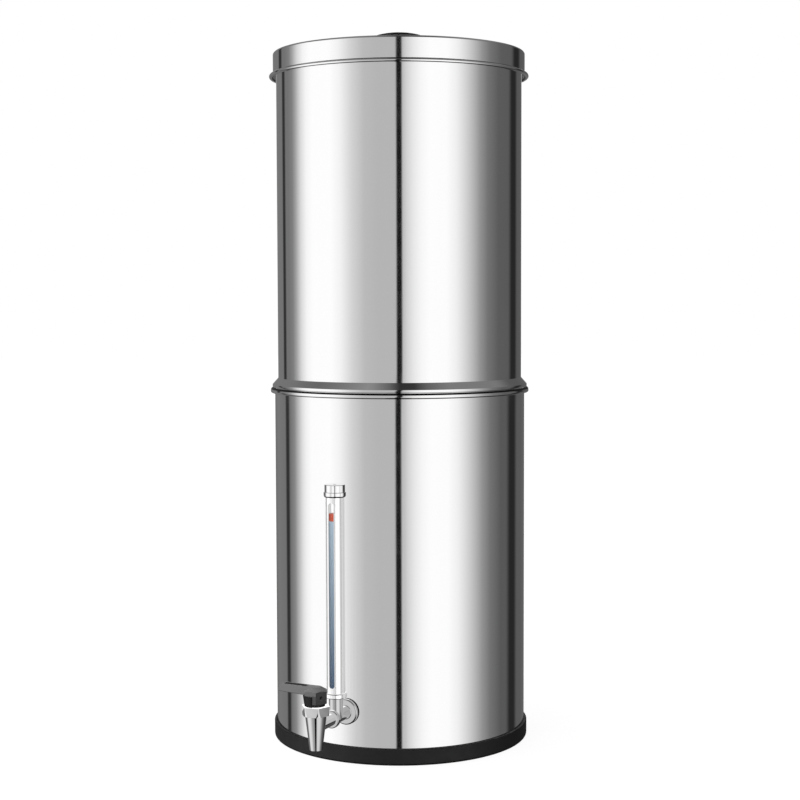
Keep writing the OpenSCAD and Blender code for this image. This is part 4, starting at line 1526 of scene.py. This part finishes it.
@dataclass
class FilterElement:
    """One filter element with its caps, its washer, its threaded stem and its wing nut."""

    side: int
    label: str
    spacing: float = UpperChamber.stem_spacing
    floor: float = UpperChamber.floor
    sheet: float = Sheet.thickness
    washer: float = 3.0
    block_d: float = 68.0
    hollow_r: float = 11.0
    height: float = 230.0
    base_h: float = 14.0
    cap_h: float = 9.0
    wall: float = 2.0
    bore_r: float = 2.5
    stem_d: float = 10.0
    stem_reach: float = 26.0
    thread_pitch: float = 1.5
    thread_deep: float = 0.7
    wing_span: float = 38.0
    wing_h: float = 12.0
    wing_t: float = 3.0
    wing_tip: float = 4.5
    nut_r: float = 8.0
    plate_r: float = 11.0
    plate: float = 2.5

    def make(self, kind: str, bm: Solid, z: float, finish: Finish, stands_for: str) -> None:
        """Makes one of the element's pieces.

        Args:
            kind: The start of the piece's name. The element's label ends it.
            bm: The solid, which stands on height 0.
            z: The height where the piece stands.
            finish: Its finish.
            stands_for: The start of the name of the CAD node that it is shown in place of.
        """
        moved(bm, Matrix.Translation((self.side * self.spacing / 2, 0, z)))
        node = f"{stands_for}_{self.label}"
        make_piece(f"{kind}_{self.label}", bm, finish, Body.UPPER, node, mirrored=True)

    def build(self) -> None:
        """Makes every piece of the element."""
        base_z = self.floor + self.sheet + self.washer
        top_z = base_z + self.height
        case_r = self.block_d / 2 + self.wall
        block_z = base_z + self.base_h - self.wall
        block_h = top_z - self.wall - block_z
        block = puck(self.block_d / 2, block_h, foot=0.3, top=0.3, bore=self.hollow_r)
        self.make("carbon_block", turn(block, Faces.LARGE), block_z, CARBON, "filter_block")
        base = turn(puck(case_r, self.base_h, foot=1.0, top=0.8, bore=self.bore_r), Faces.LARGE)
        low = self.floor - self.stem_reach - base_z
        root = self.stem_d / 2 - self.thread_deep
        core = moved(turn(puck(root, -low, 0.5, SHARP, self.bore_r), Faces.SMALL), raised(low))
        ridge = thread(self.stem_d / 2, self.thread_pitch, -low - 3 * LEAD, self.thread_deep)
        base = added(base, core, moved(ridge, raised(low + LEAD)))
        self.make("element_base", base, base_z, WHITE_PLASTIC, "filter_base")
        cap = turn(puck(case_r, self.cap_h, foot=0.5, top=1.5), Faces.LARGE)
        self.make("element_cap", cap, top_z - self.cap_h, WHITE_PLASTIC, "filter_cap")
        nut = self.nut()
        self.make("element_wing_nut", nut, self.floor - self.wing_h, WHITE_PLASTIC, "wing_nut")

    def nut(self) -> Solid:
        """Makes the wing nut under the chamber's floor.

        Returns:
            The nut, which stands on height 0.
        """
        h = self.wing_h
        bore = self.stem_d / 2 + PLAY
        hub = turn(puck(self.nut_r, h, foot=0.8, top=0.3, bore=bore), Faces.MIDDLE)
        plate = turn(puck(self.plate_r, self.plate, foot=0.6, top=0.3, bore=bore), Faces.MIDDLE)
        nut = combine(hub, moved(plate, raised(h - self.plate)), Merge.JOIN)
        for turned_by in (0, 180):
            nut = combine(nut, moved(self.wing(), about_z(turned_by)), Merge.JOIN)
        return nut

    def wing(self) -> Solid:
        """Makes one wing, which hangs down to a round tip.

        Returns:
            The wing, towards +X.
        """
        tip = self.wing_tip
        root_x, root_z, shoulder = 6.5, 4.0, self.wing_h - 0.5
        outline = Outline().to((root_x, root_z), (root_x, shoulder), (root_x + 4, shoulder))
        outline.arc((self.wing_span / 2 - tip, tip - 2), tip, 60, -90, 12)
        wing = moved(prism(outline.points, self.wing_t), raised(-self.wing_t / 2))
        soften(wing, radius=0.6, from_angle=40.0)
        return moved(wing, lying())


# ------------------------------------------------------------------ studio


TAP_CHROME = ("tap_tee", "coupling", "tap_spout")
GAUGE_STEEL = ("gauge_foot_ring", "gauge_window_sleeve")
GAUGE_CAP = ("gauge_vent_cap",)
WATTS = 4.0  # the power of each square metre of a light that shows as a grey of 1

# The white field, the grey one and the pale one in front of the vessel, as the chambers mirror them.
FRONT_SCREENS: Stops = (
    (-66, 1.13), (-56, 1.02), (-44, 0.74), (-32, 0.56), (-20, 0.525), (-4, 0.525), (4, 0.6),
    (7, 0.74), (13, 0.92), (20, 1.06), (28, 1.13), (44, 1.12), (54, 0.99), (62, 0.79),
    (70, 0.585), (80, 0.335), (90, 0.195),
)


@dataclass(frozen=True)
class Softbox:
    """A soft light that only some of the tap's pieces mirror.

    Attributes:
        name: The light's name.
        azimuth: Where it hangs, in degrees from the camera.
        reach: How far from the vessel's axis, in metres. Below 0 it faces away from the vessel.
        height: The height of its middle, in metres.
        width: Its width, in metres.
        tall: Its own height, in metres.
        level: The grey that it shows.
        pieces: The pieces that mirror it.
    """

    name: str
    azimuth: float
    reach: float
    height: float
    width: float
    tall: float
    level: float
    pieces: tuple[str, ...]


@dataclass(frozen=True)
class Strip:
    """A dark strip between the screens, in degrees and linear grey.

    Attributes:
        upper: Its azimuth as the upper chamber and the lid show it.
        lower: Its azimuth as the lower chamber shows it.
        half: Half its width.
        soft: The width of its soft edges.
        level: Its grey.
        foot: Half its width near the floor.
        top: The height where it ends.
    """

    upper: float
    lower: float
    half: float
    soft: float
    level: float
    foot: float
    top: float


@dataclass
class Studio:
    """The plain studio: camera, world and a pale floor.

    The world's bands are what the polished steel shows: white screens with dark strips between them.
    Angles are measured round the vessel from the camera, in degrees, positive to its right, and heights
    are angles too. Each stop is an angle with its grey.

    Attributes:
        joint: The height that parts the lower chamber's bands from the upper one's.
        joint_soft: Half the width of the change between them.
        overhead: The heights between which the screens give way to the ceiling.
        strip_foot: The heights between which a strip takes its full width.
        strip_fade: How far a strip's top fades.
        heights: How bright the bands are at each height.
        room: The light on matt faces, by height.
        room_sides: The same by azimuth.
    """

    camera_turn: float = 23.9
    camera_distance: float = 1471.95
    camera_height: float = 391.7
    camera_pitch: float = 3.655
    camera_roll: float = -0.166
    camera_lens: float = 74.9
    camera_film: float = 36.0
    camera_shift: float = 0.00033
    camera_reach: float = 50.0
    joint: float = -3.3
    joint_soft: float = 0.4
    overhead: Point = (26.0, 40.0)
    strip_foot: Point = (-22.0, -16.0)
    strip_fade: float = 8.0
    floor_r: float = 9.0
    floor_grey: float = 0.14
    floor_glow: float = 0.918
    upper_screens: Stops = (
        (-173, 0.9), (-168, 0.19), (-126, 0.19), (-118, 0.24), (-112, 0.41), (-104, 0.79), (-96, 1.04),
        (-88, 1.13), *FRONT_SCREENS, (105, 0.12), (150, 0.1), (168, 0.12), (173, 0.9),
    )
    lower_screens: Stops = (
        (-172, 0.15), (-150, 0.2), (-120, 0.18), (-112, 0.28), (-104, 0.63), (-100, 0.83), (-95, 1.0),
        (-88, 1.12), *FRONT_SCREENS, (105, 0.11), (150, 0.11), (172, 0.15),
    )
    heights: Stops = (
        (-90, 0.02), (-50, 0.03), (-38, 0.15), (-29, 0.62), (-15.5, 1.0), (74, 1.0), (86, 0.4), (90, 0.1)
    )
    ceiling: Stops = (
        (-180, 0.05), (-155, 0.2), (-115, 0.15), (-70, 0.28), (-30, 0.18), (0, 0.045), (40, 0.05),
        (90, 0.22), (155, 0.2), (180, 0.05),
    )
    room: Stops = ((-90, 0.05), (-15, 0.15), (5, 0.45), (40, 1.0), (90, 1.2))
    room_sides: Stops = ((-180, 0.8), (-90, 2.0), (-30, 1.95), (25, 0.3), (90, 0.1), (180, 0.8))
    strips: tuple[Strip, ...] = (
        Strip(0.0, -1.3, 2.6, 1.9, 0.012, 12.0, 90.0),
        Strip(-136.7, -125.3, 3.6, 4.0, 0.032, 3.6, 12.0),
        Strip(134.0, 125.0, 8.0, 9.0, 0.022, 8.0, 12.0),
    )
    softboxes: tuple[Softbox, ...] = (
        Softbox("wall_bounce", -23.9, -0.1115, 0.148, 0.16, 0.224, 0.4, TAP_CHROME + GAUGE_STEEL),
        Softbox("gauge_left", -120.0, 2.2, 0.0, 5.2, 2.6, 0.2, GAUGE_STEEL),
        Softbox("gauge_right", 120.0, 2.2, 0.0, 5.2, 2.6, 0.06, GAUGE_STEEL),
        Softbox("gauge_front", 0.0, 2.2, 0.0, 5.0, 2.6, 0.25, GAUGE_STEEL),
        Softbox("cap_front", -19.0, 2.2, 0.0, 1.1, 2.6, 0.4, GAUGE_CAP),
        Softbox("cap_right", 82.0, 2.2, 0.0, 1.3, 2.6, 0.5, GAUGE_CAP),
    )

    def build(self) -> None:
        """Makes the whole studio."""
        self.build_camera()
        self.build_world()
        self.build_floor()
        for softbox in self.softboxes:
            self.hang(softbox)

    def hang(self, softbox: Softbox) -> None:
        """Hangs a softbox and links it to the pieces that mirror it.

        Args:
            softbox: The softbox. Below a reach of 0 it hangs just off the wall and faces outwards.
        """
        data = bpy.data.lights.new(softbox.name, "AREA")
        data.shape = "RECTANGLE"
        data.size = softbox.width
        data.size_y = softbox.tall
        data.energy = WATTS * softbox.level * softbox.width * softbox.tall
        light = bpy.data.objects.new(softbox.name, data)
        bpy.context.scene.collection.objects.link(light)
        away = Matrix.Translation((0, -abs(softbox.reach), softbox.height))
        facing = Matrix.Rotation(math.copysign(math.pi / 2, softbox.reach), 4, "X")
        light.matrix_world = about_z(self.camera_turn + softbox.azimuth) @ away @ facing
        light.visible_camera = False
        light.visible_diffuse = False
        light.visible_transmission = False
        linked = bpy.data.collections.new(softbox.name)
        for name in softbox.pieces:
            linked.objects.link(bpy.data.objects[name])
        light.light_linking.receiver_collection = linked

    def build_camera(self) -> None:
        """Makes the camera at its measured place."""
        data = bpy.data.cameras.new("camera")
        data.lens = self.camera_lens
        data.sensor_width = self.camera_film
        data.shift_x = self.camera_shift
        data.clip_end = self.camera_reach
        camera = bpy.data.objects.new("camera", data)
        bpy.context.scene.collection.objects.link(camera)
        place = Vector((0, -self.camera_distance, self.camera_height)) * MM
        tilted = Matrix.Rotation(math.radians(90 - self.camera_pitch), 4, "X")
        aimed = Matrix.Translation(place) @ tilted @ about_z(self.camera_roll)
        camera.matrix_world = about_z(self.camera_turn) @ aimed
        bpy.context.scene.camera = camera

    def build_world(self) -> None:
        """Makes the world: white to the eye, soft light to matt faces, bands to polished metal."""
        world = bpy.data.worlds.new("studio")
        bpy.context.scene.world = world
        world.use_nodes = True
        tree = world.node_tree
        tree.nodes.clear()
        azimuth, height = self.directions(tree)
        ends = (self.joint - self.joint_soft, self.joint + self.joint_soft)
        above = add_node(tree, MAP_RANGE, SMOOTH, (height, *ends))
        lower = self.bands(tree, azimuth, 180, self.lower_screens)
        upper = self.bands(tree, azimuth, 180, self.upper_screens)
        seen = add_node(tree, MIX, COLOURS, {MIX_SHARE: above, MIX_FIRST: lower, MIX_SECOND: upper})
        for strip in self.strips:
            seen = self.add_strip(tree, strip, azimuth, height, above, seen)
        over = add_node(tree, MAP_RANGE, SMOOTH, (height, *self.overhead))
        ceiling = self.bands(tree, azimuth, 180, self.ceiling)
        seen = add_node(tree, MIX, COLOURS, {MIX_SHARE: over, MIX_FIRST: seen, MIX_SECOND: ceiling})
        product = ("ShaderNodeVectorMath", {"operation": "MULTIPLY"})
        seen = add_node(tree, *product, (seen, self.bands(tree, height, 90, self.heights)))
        sides = self.bands(tree, azimuth, 180, self.room_sides)
        room = add_node(tree, *product, (self.bands(tree, height, 90, self.room), sides))
        for ray, light in (("Is Diffuse Ray", room), ("Is Camera Ray", grey(1.0))):
            share = add_node(tree, "ShaderNodeLightPath", output=ray)
            seen = add_node(tree, MIX, COLOURS, {MIX_SHARE: share, MIX_FIRST: seen, MIX_SECOND: light})
        shown = add_node(tree, "ShaderNodeBackground", {}, {"Color": seen})
        add_node(tree, "ShaderNodeOutputWorld", {}, {"Surface": shown})

    def directions(self, tree: Tree) -> tuple[Socket, Socket]:
        """Adds what tells where a direction points.

        Args:
            tree: The world's node tree.

        Returns:
            Its azimuth from the camera and its height, both in degrees.
        """
        turned = math.radians(self.camera_turn)
        direction = add_node(tree, "ShaderNodeTexCoord", output="Generated")
        right = (math.cos(turned), math.sin(turned), 0)
        ahead = (math.sin(turned), -math.cos(turned), 0)
        x, y, z = (
            add_node(tree, "ShaderNodeVectorMath", {"operation": "DOT_PRODUCT"}, (direction, axis))
            for axis in (right, ahead, (0, 0, 1))
        )
        azimuth = add_node(tree, MATHS, {"operation": "ARCTAN2"}, (x, y))
        height = add_node(tree, MATHS, {"operation": "ARCSINE"}, (z,))
        in_degrees = {"operation": "DEGREES"}
        return add_node(tree, MATHS, in_degrees, (azimuth,)), add_node(tree, MATHS, in_degrees, (height,))

    def bands(self, tree: Tree, degrees: Socket, reach: float, stops: Stops) -> Socket:
        """Adds grey levels along an angle.

        Args:
            tree: The world's node tree.
            degrees: The angle.
            reach: The angle runs from minus this to plus this.
            stops: Angles in order, each with its level.

        Returns:
            The level.
        """
        place = add_node(tree, MAP_RANGE, {}, (degrees, -reach, reach))
        level = add_node(tree, "ShaderNodeValToRGB", {}, (place,))
        elements = level.node.color_ramp.elements
        while len(elements) > 1:
            elements.remove(elements[-1])
        for number, (angle, shade) in enumerate(stops):
            at = (angle + reach) / (2 * reach)
            element = elements.new(at) if number else elements[0]
            element.position = at
            element.color = grey(shade)
        return level

    def add_strip(
        self, tree: Tree, strip: Strip, azimuth: Socket, height: Socket, above: Socket, behind: Socket
    ) -> Socket:
        """Hangs a dark strip in front of the screens.

        Args:
            tree: The world's node tree.
            strip: The strip.
            azimuth: The direction's azimuth.
            height: Its height.
            above: 1 above the chambers' joint, 0 below it.
            behind: The screens' grey.

        Returns:
            The grey with the strip.
        """
        less = {"operation": "SUBTRACT"}
        centre = add_node(tree, MAP_RANGE, SMOOTH, (above, 0.0, 1.0, strip.lower, strip.upper))
        aside = add_node(tree, MATHS, less, (azimuth, centre))
        aside = add_node(tree, MATHS, {"operation": "ABSOLUTE"}, (aside,))
        half = add_node(tree, MAP_RANGE, SMOOTH, (height, *self.strip_foot, strip.foot, strip.half))
        inner = add_node(tree, MATHS, less, (half, strip.soft / 2))
        outer = add_node(tree, MATHS, {"operation": "ADD"}, (half, strip.soft / 2))
        beside = add_node(tree, MAP_RANGE, SMOOTH, (aside, inner, outer))
        over = add_node(tree, MAP_RANGE, SMOOTH, (height, strip.top, strip.top + self.strip_fade))
        share = add_node(tree, MATHS, {"operation": "MAXIMUM"}, (beside, over))
        inputs = {MIX_SHARE: share, MIX_FIRST: grey(strip.level), MIX_SECOND: behind}
        return add_node(tree, MIX, COLOURS, inputs)

    def build_floor(self) -> None:
        """Makes the pale floor, which keeps a soft shadow near the vessel and is white further out."""
        bm = bmesh.new()
        bmesh.ops.create_circle(bm, cap_ends=True, segments=Faces.USUAL, radius=self.floor_r)
        mesh = bpy.data.meshes.new("floor")
        bm.to_mesh(mesh)
        bm.free()
        floor = bpy.data.objects.new("floor", mesh)
        bpy.context.scene.collection.objects.link(floor)
        floor.visible_glossy = False
        floor.visible_diffuse = False
        made = bpy.data.materials.new("pale_floor")
        made.use_nodes = True
        tree = made.node_tree
        tree.nodes.clear()
        matt = add_node(tree, "ShaderNodeBsdfDiffuse", {}, {"Color": grey(self.floor_grey)})
        inputs = {"Color": grey(1.0), "Strength": self.floor_glow}
        glow = add_node(tree, "ShaderNodeEmission", {}, inputs)
        both = add_node(tree, "ShaderNodeAddShader", {}, (matt, glow))
        add_node(tree, "ShaderNodeOutputMaterial", {}, {"Surface": both})
        mesh.materials.append(made)


# ------------------------------------------------------------------ assembly


INNER_NODES: dict[Finish, tuple[str, ...]] = {
    SILICONE: (
        "tap_inner_washer",
        "gauge_lower_seal",
        "gauge_upper_seal",
        "filter_washer_left",
        "filter_washer_right",
        "knob_washer",
    ),
    TURNED_STEEL: ("tap_nut", "spindle", "valve_ball", "knob_screw"),
    PTFE: ("inlet_seat", "outlet_seat"),
    BLACK_RUBBER: ("bonnet_seal", "spindle_seal"),
}


def dress_inner_nodes() -> None:
    """Gives the CAD nodes that stay shown their finishes."""
    for finish, names in INNER_NODES.items():
        for name in names:
            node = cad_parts[name]
            node.data.materials.clear()
            node.data.materials.append(finish.material())
            node.visible_glossy = False
            log.info("%s: kept, in %s", name, finish.name)


def main() -> None:
    """Builds the filter piece by piece, and the studio round it."""
    logging.basicConfig(level=logging.INFO, format="%(name)s: %(message)s")
    bpy.context.scene.view_settings.view_transform = "Standard"
    tap = Tap()
    parts = [
        BaseRing(),
        LowerChamber(),
        UpperChamber(),
        Lid(),
        tap,
        Handle(tap),
        SightGauge(tap),
        FilterElement(-1, "left"),
        FilterElement(1, "right"),
        Studio(),
    ]
    for part in parts:
        part.build()
    dress_inner_nodes()


if __name__ == "__main__":
    main()
